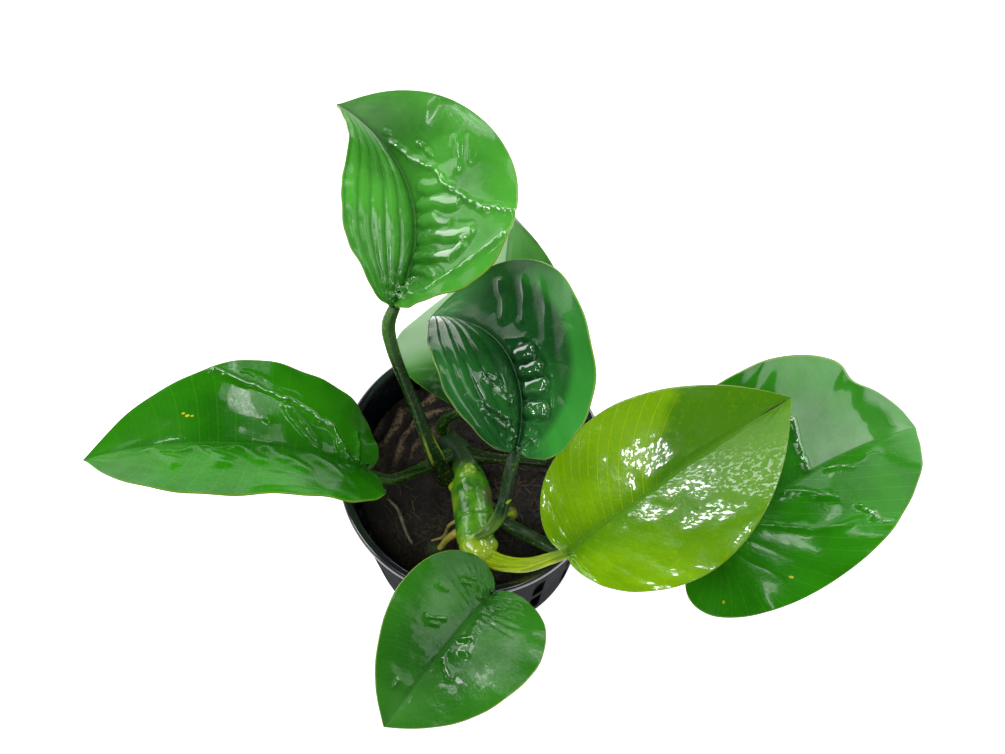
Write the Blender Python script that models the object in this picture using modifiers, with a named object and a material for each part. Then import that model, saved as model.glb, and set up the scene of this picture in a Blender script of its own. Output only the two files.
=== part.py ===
"""Butterfly anubias in its small black net pot.

The pot stands on its flat base at the origin, +Z is up, and the side seen in
front is -Y. Sizes below are in millimetres and are turned into metres where a
mesh is made. Every piece is one closed solid: pot, plug of mineral wool,
rhizome, seven blades, their seven stalks, one bare stalk and three roots.
"""

import math

import bmesh
import bpy
import numpy as np
from mathutils import Matrix, Vector

MM = 0.001
# Points nearer than this, in metres, are one point.
WELD = 0.00001
# Room left between two pieces that touch.
GAP = 0.3
# Faces that meet at more than this angle, in degrees, keep a sharp edge.
SHARP_ANGLE = 35

# The pot: a tapered cup with a thin rolled lip, two rows of slots in its wall
# and a ring of slots in its floor.
POT_HEIGHT = 52.0
LIP_RADIUS = 30.0
LIP_HEIGHT = 1.8
LIP_WIDTH = 1.3
LIP_ROUND = 0.5
TOP_RADIUS = 28.9
BASE_RADIUS = 25.0
BASE_EDGE = 0.8
WALL = 1.2
FLOOR = 1.6
POT_STEPS = 48
SLOTS_AROUND = 16
SLOT_WIDTH = 3.0
SLOT_REACH = (20.0, 34.0)
SLOT_ROWS = ((6.0, 20.0), (24.0, 36.0))
FLOOR_SLOTS = 8
FLOOR_SLOT_REACH = (9.0, 19.0)
FLOOR_SLOT_WIDTH = 2.6

# The wool plug: its top is a little domed, its shoulder widens towards the
# wall, and its edge is uneven by a few tenths of a millimetre.
WOOL_PROFILE = ((0.0, 44.2), (6.0, 44.2), (13.0, 44.1), (18.5, 43.9), (21.6, 43.2), (23.9, 41.8),
                (25.3, 39.6), (25.8, 37.0), (24.8, 24.0), (23.6, 9.0), (22.9, 3.2), (22.0, 2.1), (0.0, 2.1))
WOOL_WAVES = ((3, 0.3, 0.7), (7, 0.2, 2.1))
WOOL_STEPS = 24

# The rhizome creeps forward out of the wool and ends in the crown. Its older
# part reaches back to the left, and buds sit beside its scars.
RHIZOME_PATH = ((-1.4, 3.0, 43.0), (-1.0, -1.0, 45.5), (0.0, -7.0, 48.5),
                (0.5, -13.0, 51.0), (1.0, -18.0, 53.0), (2.3, -21.4, 54.0))
RHIZOME_RADII = (3.2, 4.0, 4.6, 4.3, 4.1, 3.3)
REAR_PATH = ((-1.0, 0.5, 45.5), (-1.6, 3.0, 45.6), (-3.6, 6.2, 45.2), (-6.6, 9.4, 44.6))
REAR_RADII = (3.4, 3.1, 2.8, 2.4)
RHIZOME_RINGS, RHIZOME_SIDES = 11, 12
REAR_RINGS, REAR_SIDES = 6, 10
BALL_STEPS, BALL_RINGS = 12, 8
BUDS = (((-0.7, -0.3, 49.2), 1.7), ((-4.3, -3.7, 47.6), 1.2), ((4.2, -19.0, 54.2), 1.8))

# Blades. A blade starts at base, where its stalk meets it. heading is the
# compass angle of its midrib from +X, pitch its rise and roll its tilt. bend,
# sweep and twist are how far the midrib has turned up, left and about itself
# at the tip. lift is the angle at which each half rises from the midrib, and
# curl how much more it turns by the margin. Pairs are left and right half.
# lobe and taper shape the margin, and notch dents one half near the tip.
BLADES = {
    "upper": dict(base=(-16.0, 23.2, 90.8), heading=65, pitch=-15, roll=4,
                  length=61.5, width=(19.0, 26.7), bend=-3, sweep=78, twist=-11,
                  lift=(42, 57), curl=(-28, -36), lobe=0.84, taper=2.27),
    "centre": dict(base=(9.8, -5.5, 80.4), heading=76, pitch=3, roll=8,
                   length=52.0, width=(22.7, 24.2), bend=-65, sweep=75, twist=-8,
                   lift=(35, 33), curl=(-8, 49), lobe=0.79, taper=2.04),
    "left": dict(base=(-23.2, -3.0, 58.8), heading=168, pitch=31, roll=32,
                 length=67.0, width=(24.5, 23.1), bend=-67, sweep=-10, twist=-17,
                 lift=(19, 9), curl=(11, -8), lobe=0.80, taper=1.90),
    "front": dict(base=(4.5, -31.7, 60.0), heading=-126, pitch=27, roll=-13,
                  length=40.0, width=(18.4, 16.7), bend=-20, sweep=6, twist=-2,
                  lift=(14, 18), curl=(18, -11), lobe=0.98, taper=1.55),
    "young": dict(base=(20.9, -23.2, 62.5), heading=40, pitch=1, roll=-4,
                  length=64.2, width=(20.4, 23.8), bend=-16, sweep=-5, twist=-1,
                  lift=(15, 16), curl=(-18, -20), lobe=0.96, taper=2.85),
    "right": dict(base=(54.0, -15.3, 46.0), heading=37, pitch=4, roll=8,
                  length=67.6, width=(28.8, 23.6), bend=-47, sweep=-13, twist=-3,
                  lift=(11, 11), curl=(15, -12), lobe=0.89, taper=0.88,
                  notch=(21, 0.075, 8)),
    "rear": dict(base=(0.8, 9.9, 60.0), heading=73, pitch=21, roll=-25,
                 length=53.4, width=(25.4, 24.5), bend=-31, sweep=41, twist=-26,
                 lift=(-1, 16), curl=(15, -20), lobe=0.63, taper=3.07),
}
BLADE_ROWS = 13
BLADE_COLUMNS = 4
BLADE_THICK = 0.55
MARGIN_THICK = 0.35
MIDRIB_DEPTH = 1.1
# Flat positions nearer the midrib than this lie on it.
ON_MIDRIB = 0.01
# The margin is followed by its angle about the blade's base, which grows as
# this power of the share, and a notch fades out this fast towards the tip.
MARGIN_PACE = 1.3
NOTCH_FADE = 4
# Side veins that end beyond this share of the margin start at the base, and
# the others start nearer the base the more VEIN_BUNCH is over 1. A vein leaves
# the midrib with VEIN_LEAN of the way to its end and VEIN_ARCH of its width.
VEIN_END = 0.8
VEIN_BUNCH = 1.15
VEIN_LEAN = 0.3
VEIN_ARCH = 0.6

# Stalks: a path from the rhizome up to just below the blade, and a radius at
# each of its points. The path's last point is worked out from the blade.
STALKS = {
    "upper": (((-5.4, -2.4, 46.3), (-7.3, 0.1, 50.0), (-9.9, 4.6, 57.0), (-12.4, 9.3, 66.0),
               (-14.9, 13.2, 74.5), (-16.8, 16.8, 82.0), (-17.4, 20.0, 87.0)),
              (2.1, 2.0, 1.6, 1.35, 1.3, 1.4, 1.5, 1.2)),
    "centre": (((0.8, -18.4, 57.4), (2.9, -17.3, 57.5), (5.0, -15.6, 58.7), (6.6, -13.3, 61.0),
                (7.4, -10.9, 63.8), (8.1, -8.7, 69.5), (8.9, -6.9, 75.5)),
               (0.7, 1.1, 1.4, 1.45, 1.35, 1.35, 1.35, 1.2)),
    "left": (((-4.4, 4.6, 46.2), (-8.0, 2.9, 46.4), (-12.8, -0.7, 49.4), (-18.5, -4.2, 54.6)),
             (1.6, 1.5, 1.3, 1.2, 1.1)),
    "front": (((1.2, -20.6, 53.0), (1.9, -24.0, 54.5), (3.2, -27.8, 56.5)),
              (1.9, 1.5, 1.3, 1.1)),
    "young": (((1.9, -20.3, 53.5), (4.5, -22.6, 54.8), (8.2, -24.0, 55.8), (12.4, -24.4, 57.0),
               (16.6, -23.8, 59.2)),
              (2.2, 2.0, 1.75, 1.6, 1.35, 1.2)),
    "right": (((2.5, -7.5, 48.4), (6.7, -12.0, 49.2), (10.5, -15.0, 51.0), (17.9, -19.9, 55.2),
               (28.1, -23.8, 56.2), (39.0, -22.5, 50.5), (48.5, -18.2, 43.0)),
              (1.7, 1.7, 1.6, 1.5, 1.4, 1.35, 1.3, 1.2)),
    "rear": (((-6.6, 9.6, 46.3), (-6.9, 10.4, 49.0), (-5.3, 11.0, 52.6), (-3.0, 10.8, 56.0)),
             (1.6, 1.4, 1.3, 1.25, 1.1)),
}
STALK_RINGS, STALK_SIDES = 11, 8
# A stalk ends this far behind the base of its blade.
STALK_SET_BACK = 0.8

# The bare stalk lies low over the wool and ends plainly under the young blade.
BARE_STALK_PATH = ((-1.6, 4.6, 46.7), (1.6, 3.6, 47.4), (5.0, 3.1, 47.3), (9.0, 2.9, 46.9),
                   (13.0, 2.6, 46.6), (17.1, 2.0, 46.4))
BARE_STALK_RADII = (1.7, 1.5, 1.3, 1.15, 1.1, 1.1)

# Roots that can be seen: a thick yellow one, a thin one and a pale strand.
ROOTS = {
    "thick": (((-2.6, -14.8, 51.0), (-5.4, -16.1, 48.2), (-7.4, -17.6, 45.3)), (0.9, 0.85, 0.65)),
    "thin": (((-3.0, -12.4, 50.4), (-5.0, -13.0, 48.6), (-6.3, -14.6, 45.2), (-9.2, -15.6, 44.9)),
             (0.5, 0.42, 0.4, 0.3)),
    "strand": (((-19.1, -5.6, 44.7), (-16.8, -8.4, 44.9), (-15.2, -12.7, 44.8), (-13.5, -16.2, 44.6)),
               (0.3, 0.4, 0.4, 0.3)),
}
ROOT_RINGS, ROOT_SIDES = 7, 6

# Colours of the plain materials: red, green, blue and roughness.
COLOURS = {
    "pot_plastic": (0.02, 0.022, 0.025, 0.35),
    "mineral_wool": (0.09, 0.065, 0.045, 0.95),
    "rhizome_skin": (0.22, 0.42, 0.05, 0.35),
    "leaf_green": (0.06, 0.27, 0.05, 0.3),
    "leaf_young": (0.35, 0.50, 0.05, 0.3),
    "stalk_green": (0.07, 0.22, 0.05, 0.35),
    "stalk_young": (0.34, 0.46, 0.05, 0.35),
    "root_skin": (0.42, 0.36, 0.10, 0.6),
}


def clear_scene():
    for thing in list(bpy.data.objects):
        bpy.data.objects.remove(thing, do_unlink=True)


def new_collection(name):
    collection = bpy.data.collections.new(name)
    bpy.context.scene.collection.children.link(collection)
    return collection


def material(name):
    found = bpy.data.materials.get(name)
    if found:
        return found
    red, green, blue, rough = COLOURS[name]
    made = bpy.data.materials.new(name)
    made.use_nodes = True
    shader = made.node_tree.nodes["Principled BSDF"]
    shader.inputs["Base Color"].default_value = (red, green, blue, 1.0)
    shader.inputs["Roughness"].default_value = rough
    shader.inputs["Metallic"].default_value = 0.0
    made.diffuse_color = (red, green, blue, 1.0)
    return made


def add_object(name, data, collection, skin=None):
    made = bpy.data.objects.new(name, data)
    collection.objects.link(made)
    if skin:
        data.materials.append(material(skin))
    return made


def add_shape(name, shape, collection, skin=None):
    """An object from a bmesh, which is used up."""
    mesh = bpy.data.meshes.new(name)
    shape.to_mesh(mesh)
    shape.free()
    mesh.shade_smooth()
    mesh.set_sharp_from_angle(angle=math.radians(SHARP_ANGLE))
    return add_object(name, mesh, collection, skin)


def settled(thing, collection, skin=None):
    """The thing as its modifiers or its bevel show it, made a plain mesh with
    its caps and seams welded. The thing itself is removed."""
    graph = bpy.context.evaluated_depsgraph_get()
    name = thing.name
    mesh = bpy.data.meshes.new_from_object(thing.evaluated_get(graph))
    place = thing.matrix_world.copy()
    bpy.data.objects.remove(thing, do_unlink=True)
    shape = bmesh.new()
    shape.from_mesh(mesh)
    bpy.data.meshes.remove(mesh)
    bmesh.ops.remove_doubles(shape, verts=shape.verts, dist=WELD)
    made = add_shape(name, shape, collection, skin)
    made.matrix_world = place
    return made


def as_cutter(thing):
    thing.hide_render = True
    thing.display_type = "WIRE"
    return thing


def boolean(thing, other, operation):
    step = thing.modifiers.new(operation.lower(), "BOOLEAN")
    step.operation = operation
    step.solver = "EXACT"
    step.object = other


def smooth_path(points, radii, rings):
    """A Catmull-Rom curve through the points, with the radius along it."""
    knots = np.array([(*p, r) for p, r in zip(points, radii)], float)
    knots = np.vstack([2 * knots[0] - knots[1], knots, 2 * knots[-1] - knots[-2]])
    spans = len(knots) - 3
    out = []
    for u in np.linspace(0, spans, rings):
        i = min(int(u), spans - 1)
        t = u - i
        a, b, c, d = knots[i:i + 4]
        out.append(0.5 * (2 * b + (c - a) * t + (2 * a - 5 * b + 4 * c - d) * t ** 2
                          + (3 * b - 3 * c + d - a) * t ** 3))
    out = np.array(out)
    return out[:, :3], out[:, 3]


def bar(name, path, rings, sides, collection, skin=None, extra=0.0):
    """A closed round bar along a smooth path of points and radii, the radii
    larger by extra."""
    centres, sizes = smooth_path(*path, rings)
    curve = bpy.data.curves.new(name, "CURVE")
    curve.dimensions = "3D"
    curve.bevel_depth = MM
    curve.bevel_resolution = sides // 2 - 2
    curve.use_fill_caps = True
    line = curve.splines.new("POLY")
    line.points.add(rings - 1)
    for point, centre, size in zip(line.points, centres, sizes):
        point.co = (*(centre * MM), 1.0)
        point.radius = size + extra
    return settled(add_object(name, curve, collection), collection, skin)


def ball(name, centre, radius, collection, skin=None):
    shape = bmesh.new()
    bmesh.ops.create_uvsphere(shape, u_segments=BALL_STEPS, v_segments=BALL_RINGS,
                              radius=radius * MM, matrix=Matrix.Translation(Vector(centre) * MM))
    return add_shape(name, shape, collection, skin)


def turned(name, profile, steps, collection, skin=None):
    """A turned solid. The profile starts and ends on the axis, and runs down
    the outer side."""
    mesh = bpy.data.meshes.new(name)
    points = [(radius * MM, 0.0, height * MM) for radius, height in profile]
    mesh.from_pydata(points, [(k, k + 1) for k in range(len(points) - 1)], [])
    made = add_object(name, mesh, collection)
    screw = made.modifiers.new("turn", "SCREW")
    screw.steps = steps
    screw.render_steps = steps
    screw.use_merge_vertices = True
    screw.merge_threshold = WELD
    return settled(made, collection, skin)


def add_block(shape, reach, width, heights, angle):
    """Adds an upright block whose middle line points out at angle."""
    near, far = reach
    low, high = heights
    size = Matrix.Diagonal(((far - near) * MM, width * MM, (high - low) * MM, 1.0))
    place = Matrix.Translation(Vector((near + far, 0.0, low + high)) * MM / 2)
    bmesh.ops.create_cube(shape, size=1.0, matrix=Matrix.Rotation(angle, 4, "Z") @ place @ size)


# Blade shape

def turn(vector, axis, angle):
    return (vector * math.cos(angle) + np.cross(axis, vector) * math.sin(angle)
            + axis * axis.dot(vector) * (1 - math.cos(angle)))


def midrib(leaf, steps=40):
    """Points along the midrib, each with its directions: ahead, left and up."""
    heading, pitch, roll = (math.radians(leaf[k]) for k in ("heading", "pitch", "roll"))
    ahead = np.array((math.cos(heading) * math.cos(pitch), math.sin(heading) * math.cos(pitch),
                      math.sin(pitch)))
    left = np.array((-math.sin(heading), math.cos(heading), 0.0))
    up = np.cross(ahead, left)
    left = turn(left, ahead, roll)
    up = turn(up, ahead, roll)
    bend, sweep, twist = (math.radians(leaf[k]) / steps for k in ("bend", "sweep", "twist"))
    place = np.array(leaf["base"], float)
    rows = [(place, ahead, left, up)]
    for _ in range(steps):
        halfway = turn(turn(ahead, left, -bend / 2), up, sweep / 2)
        place = place + halfway * leaf["length"] / steps
        ahead, up = turn(ahead, left, -bend), turn(up, left, -bend)
        ahead, left = turn(ahead, up, sweep), turn(left, up, sweep)
        left = turn(left, ahead, twist)
        up = np.cross(ahead, left)
        rows.append((place, ahead, left, up))
    return [np.array(column) for column in zip(*rows)]


def on_blade(leaf, x, y):
    """Flat blade positions, x along and y to the left, put in space."""
    place, ahead, left, up = midrib(leaf)
    steps = len(place) - 1
    s = np.clip(x / leaf["length"], 0, 1) * steps
    i = np.minimum(s.astype(int), steps - 1)
    f = (s - i)[:, None]
    at, out, across, rise = (a[i] * (1 - f) + a[i + 1] * f for a in (place, ahead, left, up))
    half = np.where(y > 0, *leaf["width"])
    lift = np.radians(np.where(y > 0, *leaf["lift"]))
    curl = np.radians(np.where(y > 0, *leaf["curl"]))
    share = np.abs(y) / half
    sideways = half / curl * (np.sin(lift + curl * share) - np.sin(lift))
    upward = half / curl * (np.cos(lift) - np.cos(lift + curl * share))
    return (at + out * np.minimum(x, 0)[:, None] + across * (np.sign(y) * sideways)[:, None]
            + rise * upward[:, None])


def margin(leaf, side, share):
    """The flat margin from the tip, share 0, round to the notch at the base, 1."""
    def raw(part):
        polar = math.pi * part ** MARGIN_PACE
        reach = leaf["length"] * (1 - (polar / math.pi) ** leaf["lobe"]) ** leaf["taper"]
        if side > 0 and "notch" in leaf:
            where, depth, wide = leaf["notch"]
            dent = np.exp(-((np.degrees(polar) - where) / wide) ** 2)
            reach = reach * (1 - depth * np.minimum(dent, NOTCH_FADE * np.degrees(polar) / where))
        return reach * np.cos(polar), reach * np.sin(polar)
    widest = raw(np.linspace(0, 1, 200))[1].max()
    x, y = raw(share)
    return x, side * y * leaf["width"][0 if side > 0 else 1] / widest


def flat_place(leaf, share, across):
    """Flat positions along a blade's side veins. share says where on the margin
    a vein ends, from tip to base. across runs from the right margin, -1, over
    the midrib to the left margin, 1."""
    t = np.abs(across)
    left_x, left_y = margin(leaf, 1, share)
    right_x, right_y = margin(leaf, -1, share)
    edge_x = np.where(across > 0, left_x, right_x)
    edge_y = np.where(across > 0, left_y, right_y)
    start = leaf["length"] * np.clip(1 - share / VEIN_END, 0, 1) ** VEIN_BUNCH
    halfway = 2 * t * (1 - t)
    x = (1 - t) ** 2 * start + halfway * (start + VEIN_LEAN * (edge_x - start)) + t * t * edge_x
    y = halfway * VEIN_ARCH * edge_y + t * t * edge_y
    return x, y


def build_blade(name, pieces):
    """A grid whose rows follow the side veins, laid in space and thickened
    downwards, most along the midrib."""
    leaf = BLADES[name]
    shape = bmesh.new()
    bmesh.ops.create_grid(shape, x_segments=BLADE_ROWS, y_segments=2 * BLADE_COLUMNS, size=1.0)
    share = np.array([(1 - vertex.co.x) / 2 for vertex in shape.verts])
    across = np.array([vertex.co.y for vertex in shape.verts]).round(4)
    x, y = flat_place(leaf, share, across)
    spread = np.abs(y) / np.where(y > 0, *leaf["width"])
    thick = BLADE_THICK + (MARGIN_THICK - BLADE_THICK) * spread
    thick += np.where(np.abs(y) < ON_MIDRIB, MIDRIB_DEPTH * (1 - x / leaf["length"]), 0.0)
    most = BLADE_THICK + MIDRIB_DEPTH
    weights = shape.verts.layers.deform.verify()
    for vertex, spot, depth in zip(shape.verts, on_blade(leaf, x, y), thick):
        vertex.co = Vector(spot) * MM
        vertex[weights][0] = depth / most
    bmesh.ops.remove_doubles(shape, verts=shape.verts, dist=WELD)
    blade = add_shape(f"blade_{name}", shape, pieces, "leaf_young" if name == "young" else "leaf_green")
    blade.vertex_groups.new(name="thickness")
    solid = blade.modifiers.new("thicken", "SOLIDIFY")
    solid.thickness = most * MM
    solid.offset = -1.0
    solid.vertex_group = "thickness"
    solid.thickness_vertex_group = 0.0


# Other pieces

def build_pot(pieces, cutters):
    lip_low = POT_HEIGHT - LIP_HEIGHT
    profile = ((0.0, FLOOR), (BASE_RADIUS - WALL, FLOOR), (TOP_RADIUS - WALL, POT_HEIGHT - 2 * LIP_ROUND),
               (LIP_RADIUS - LIP_WIDTH, POT_HEIGHT), (LIP_RADIUS - LIP_ROUND, POT_HEIGHT),
               (LIP_RADIUS, POT_HEIGHT - LIP_ROUND), (LIP_RADIUS, lip_low),
               (LIP_RADIUS - LIP_ROUND, lip_low - LIP_ROUND), (TOP_RADIUS, lip_low - 2 * LIP_ROUND),
               (BASE_RADIUS, BASE_EDGE), (BASE_RADIUS - BASE_EDGE, 0.0), (0.0, 0.0))
    pot = turned("pot", profile, POT_STEPS, pieces, "pot_plastic")
    slots = bmesh.new()
    for heights in SLOT_ROWS:
        for k in range(SLOTS_AROUND):
            add_block(slots, SLOT_REACH, SLOT_WIDTH, heights, 2 * math.pi * (k + 0.5) / SLOTS_AROUND)
    for k in range(FLOOR_SLOTS):
        angle = 2 * math.pi * (k + 0.25) / FLOOR_SLOTS
        add_block(slots, FLOOR_SLOT_REACH, FLOOR_SLOT_WIDTH, (-1.0, FLOOR + 1.0), angle)
    boolean(pot, as_cutter(add_shape("slot_cutter", slots, cutters)), "DIFFERENCE")


def build_wool(room, pieces):
    wool = turned("wool_plug", WOOL_PROFILE, WOOL_STEPS, pieces, "mineral_wool")
    widest = max(radius for radius, _ in WOOL_PROFILE)
    for vertex in wool.data.vertices:
        angle = math.atan2(vertex.co.y, vertex.co.x)
        uneven = sum(rise * math.sin(count * angle + start) for count, rise, start in WOOL_WAVES)
        vertex.co.xy *= 1 + uneven / widest
    boolean(wool, room, "DIFFERENCE")


def build_rhizome(name, extra, collection, cutters):
    """The rhizome's bars and bumps joined, all larger by extra."""
    body = bar(name, (RHIZOME_PATH, RHIZOME_RADII), RHIZOME_RINGS, RHIZOME_SIDES, collection,
               "rhizome_skin", extra)
    others = [bar(f"{name}_rear", (REAR_PATH, REAR_RADII), REAR_RINGS, REAR_SIDES, cutters, extra=extra)]
    bumps = ((RHIZOME_PATH[-1], RHIZOME_RADII[-1]), (RHIZOME_PATH[0], RHIZOME_RADII[0])) + BUDS
    for number, (centre, radius) in enumerate(bumps):
        others.append(ball(f"{name}_bump_{number}", centre, radius + extra, cutters))
    for other in others:
        boolean(body, as_cutter(other), "UNION")
    return body


def stalk_path(name):
    """A stalk's points and radii, ending just under the base of its blade."""
    points, radii = STALKS[name]
    place, ahead, left, up = (column[0] for column in midrib(BLADES[name]))
    depth = BLADE_THICK + MIDRIB_DEPTH + GAP + radii[-1] * 0.6
    return points + (tuple(place - up * depth - ahead * STALK_SET_BACK),), radii


def main():
    clear_scene()
    pieces = new_collection("butterfly_anubias")
    cutters = new_collection("cutters")

    build_pot(pieces, cutters)
    build_rhizome("rhizome", 0.0, pieces, cutters)
    room = as_cutter(build_rhizome("rhizome_room", GAP, cutters, cutters))
    build_wool(room, pieces)

    for name in BLADES:
        build_blade(name, pieces)

    bars = [(f"stalk_{name}", stalk_path(name), STALK_RINGS, STALK_SIDES,
             "stalk_young" if name == "young" else "stalk_green") for name in STALKS]
    bars.append(("stalk_bare", (BARE_STALK_PATH, BARE_STALK_RADII), STALK_RINGS, STALK_SIDES,
                 "stalk_green"))
    bars += [(f"root_{name}", path, ROOT_RINGS, ROOT_SIDES, "root_skin") for name, path in ROOTS.items()]
    for name, path, rings, sides, skin in bars:
        boolean(bar(name, path, rings, sides, pieces, skin), room, "DIFFERENCE")


main()
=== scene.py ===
# %% [markdown]
# # Butterfly anubias in its net pot
#
# This lesson dresses a finished CAD model of a small aquarium plant. The CAD
# model gives the sizes and the collision shapes. Here every piece is rebuilt
# as a fine mesh with its own finish, and rides on the same frame.

import math

import bpy
import numpy as np
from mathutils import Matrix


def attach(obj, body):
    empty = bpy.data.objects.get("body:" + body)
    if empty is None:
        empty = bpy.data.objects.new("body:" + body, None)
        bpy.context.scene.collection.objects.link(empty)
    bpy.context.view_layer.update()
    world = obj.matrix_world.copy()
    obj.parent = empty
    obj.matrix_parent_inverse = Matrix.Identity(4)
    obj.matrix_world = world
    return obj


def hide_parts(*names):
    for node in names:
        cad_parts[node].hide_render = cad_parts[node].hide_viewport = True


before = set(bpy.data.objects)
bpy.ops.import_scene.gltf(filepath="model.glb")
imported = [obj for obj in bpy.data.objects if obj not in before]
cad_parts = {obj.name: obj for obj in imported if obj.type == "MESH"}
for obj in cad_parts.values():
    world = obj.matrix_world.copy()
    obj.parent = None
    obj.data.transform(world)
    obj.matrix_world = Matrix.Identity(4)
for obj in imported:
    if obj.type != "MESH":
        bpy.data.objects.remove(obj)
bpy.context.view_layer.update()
MM = 0.001
stage = bpy.context.scene
print("CAD nodes:", sorted(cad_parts))

# %% [markdown]
# ## The camera
#
# The photograph looks down on the plant at about 70 degrees. A long lens half
# a metre away keeps the leaves' proportions, as a photographer would choose.
# The camera aims a little behind and to the right of the pot's lip, which puts
# the pot left of the middle of the picture, as in the photograph.

# %% Camera
ELEVATION = math.radians(70)
DISTANCE = 500.0
LIP_CENTRE = np.array((0.0, 0.0, 52.0))
AIM_RIGHT, AIM_UP = 6.8, 19.7
LENS = 80.0

toward = np.array((0.0, -math.cos(ELEVATION), math.sin(ELEVATION)))
screen_up = np.array((0.0, math.sin(ELEVATION), math.cos(ELEVATION)))
aim = LIP_CENTRE + (AIM_RIGHT, 0.0, 0.0) + AIM_UP * screen_up
camera = bpy.data.objects.new("camera", bpy.data.cameras.new("camera"))
camera.location = (aim + DISTANCE * toward) * MM
camera.rotation_euler = (math.pi / 2 - ELEVATION, 0.0, 0.0)
camera.data.lens = LENS
stage.collection.objects.link(camera)
stage.camera = camera
print("camera at", [round(c, 3) for c in camera.location])

# %% [markdown]
# ## Light
#
# The leaves are wet, so most of what the eye reads on them is reflection. Soft
# panels stand low at both sides: a leaf that leans shows one of them as a pale
# sheen. Straight above and low behind it stays dark, so a leaf that faces that
# way keeps its deep green. Small bright boxes give the white lines on ridges,
# because a sharp ridge squeezes the picture of a box into a thread. A wide
# panel beside the camera fills the shadows, and shows only in a leaf that
# faces the camera.
#
# Each panel is given by its compass angle and its height angle as seen from
# the plant, so that it is easy to see which leaf it lights.

# %% Lights
PLANT_MIDDLE = (10.0, 0.0, 55.0)
PANEL_DISTANCE = 800.0
# Compass angle, height angle, width and height, radiance.
PANELS = {
    "right_panel": (22, 18, (700, 380), 2.8),
    "left_panel": (132, 11, (500, 380), 3.2),
    "front_panel": (262, 64, (640, 420), 2.8),
    "back_panel": (76, 35, (700, 290), 4.5),
    "back_box": (93, 41, (130, 110), 14.0),
    "middle_box": (82, 52, (110, 80), 20.0),
    "high_box": (40, 64, (200, 60), 22.0),
    "left_box": (150, 42, (360, 36), 26.0),
    "right_box": (40, 36, (160, 60), 18.0),
    "lip_box": (195, 40, (260, 160), 12.0),
}
SKY_COLOUR, SKY_STRENGTH = (0.93, 0.96, 1.0, 1.0), 0.08


def panel(name, compass, height, size, radiance):
    """A soft light that faces the plant. Angles in degrees, sizes in millimetres."""
    light = bpy.data.lights.new(name, "AREA")
    light.shape = "RECTANGLE"
    light.size, light.size_y = (s * MM for s in size)
    light.energy = radiance * math.pi * light.size * light.size_y
    lamp = bpy.data.objects.new(name, light)
    turn_by, tilt = math.radians(compass), math.radians(height)
    out = np.array((math.cos(tilt) * math.cos(turn_by), math.cos(tilt) * math.sin(turn_by), math.sin(tilt)))
    lamp.location = (np.array(PLANT_MIDDLE) + PANEL_DISTANCE * out) * MM
    lamp.rotation_euler = (math.pi / 2 - tilt, 0.0, turn_by + math.pi / 2)
    stage.collection.objects.link(lamp)


for name, values in PANELS.items():
    panel(name, *values)

sky = bpy.data.worlds.new("surround")
sky.use_nodes = True
sky.node_tree.nodes["Background"].inputs["Color"].default_value = SKY_COLOUR
sky.node_tree.nodes["Background"].inputs["Strength"].default_value = SKY_STRENGTH
stage.world = sky
stage.view_settings.view_transform = "Standard"

# %% [markdown]
# ## Shader sums
#
# Materials are easier to read as sums than as lists of nodes. A Wire holds one
# socket, and adding or multiplying wires adds the Math nodes for it. Colours
# go through a Mix node instead, because a Math node would turn them grey.

# %% The wire
class Wire:
    """A value or a colour on its way through a material."""

    def __init__(self, tree, socket=None):
        self.tree = tree
        self.socket = socket

    def node(self, kind, settings=None, values=None, out=0):
        made = self.tree.nodes.new("ShaderNode" + kind)
        for key, value in (settings or {}).items():
            setattr(made, key, value)
        for key, value in (values or {}).items():
            if isinstance(value, Wire):
                self.tree.links.new(value.socket, made.inputs[key])
            else:
                made.inputs[key].default_value = value
        return Wire(self.tree, made.outputs[out])

    def other(self, out):
        """Another output of the node that this wire comes from."""
        return Wire(self.tree, self.socket.node.outputs[out])

    def sum(self, operation, *values):
        return self.node("Math", {"operation": operation}, dict(enumerate(values)))

    def __add__(self, other):
        return self.sum("ADD", self, other)

    def __sub__(self, other):
        return self.sum("SUBTRACT", self, other)

    def __rsub__(self, other):
        return self.sum("SUBTRACT", other, self)

    def __mul__(self, other):
        return self.sum("MULTIPLY", self, other)

    def __pow__(self, other):
        return self.sum("POWER", self, other)

    __radd__ = __add__
    __rmul__ = __mul__

    def absolute(self):
        return self.sum("ABSOLUTE", self)

    def smooth(self, low, high):
        """0 below low, 1 above high, and a soft step between."""
        return self.node("MapRange", {"interpolation_type": "SMOOTHSTEP"},
                         {"Value": self, "From Min": low, "From Max": high})

    def pick(self, first, second):
        """The first colour where this is 0, the second where it is 1."""
        def colour(c):
            return c if isinstance(c, Wire) else (*c, 1.0)
        return self.node("Mix", {"data_type": "RGBA"},
                         {0: self, 6: colour(first), 7: colour(second)}, out=2)

    def lines(self, count, width, soft=0.5):
        """Thin lines, 1 on the line: count of them as this runs 0 to 1."""
        saw = self.sum("FRACT", self * count)
        off = (saw - 0.5).absolute()
        return off.smooth(0.5 - width, 0.5 - width * soft)


def finish(name, paint, fixed):
    """A material. paint gives the wires that vary, fixed the plain values."""
    made = bpy.data.materials.new(name)
    made.use_nodes = True
    tree = made.node_tree
    shader = tree.nodes["Principled BSDF"]
    for key, value in fixed.items():
        shader.inputs[key].default_value = value
    for key, wire in paint(Wire(tree)).items():
        tree.links.new(wire.socket, shader.inputs[key])
    return made


def noise(start, place, scale, detail=3.0, rough=0.5):
    """Cloudy noise, about 0.5 in the middle. scale is features to the metre."""
    return start.node("TexNoise", {}, {"Vector": place, "Scale": scale, "Detail": detail,
                                       "Roughness": rough})


def object_place(start):
    return start.node("TexCoord", {}, {}, out="Object")


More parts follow.
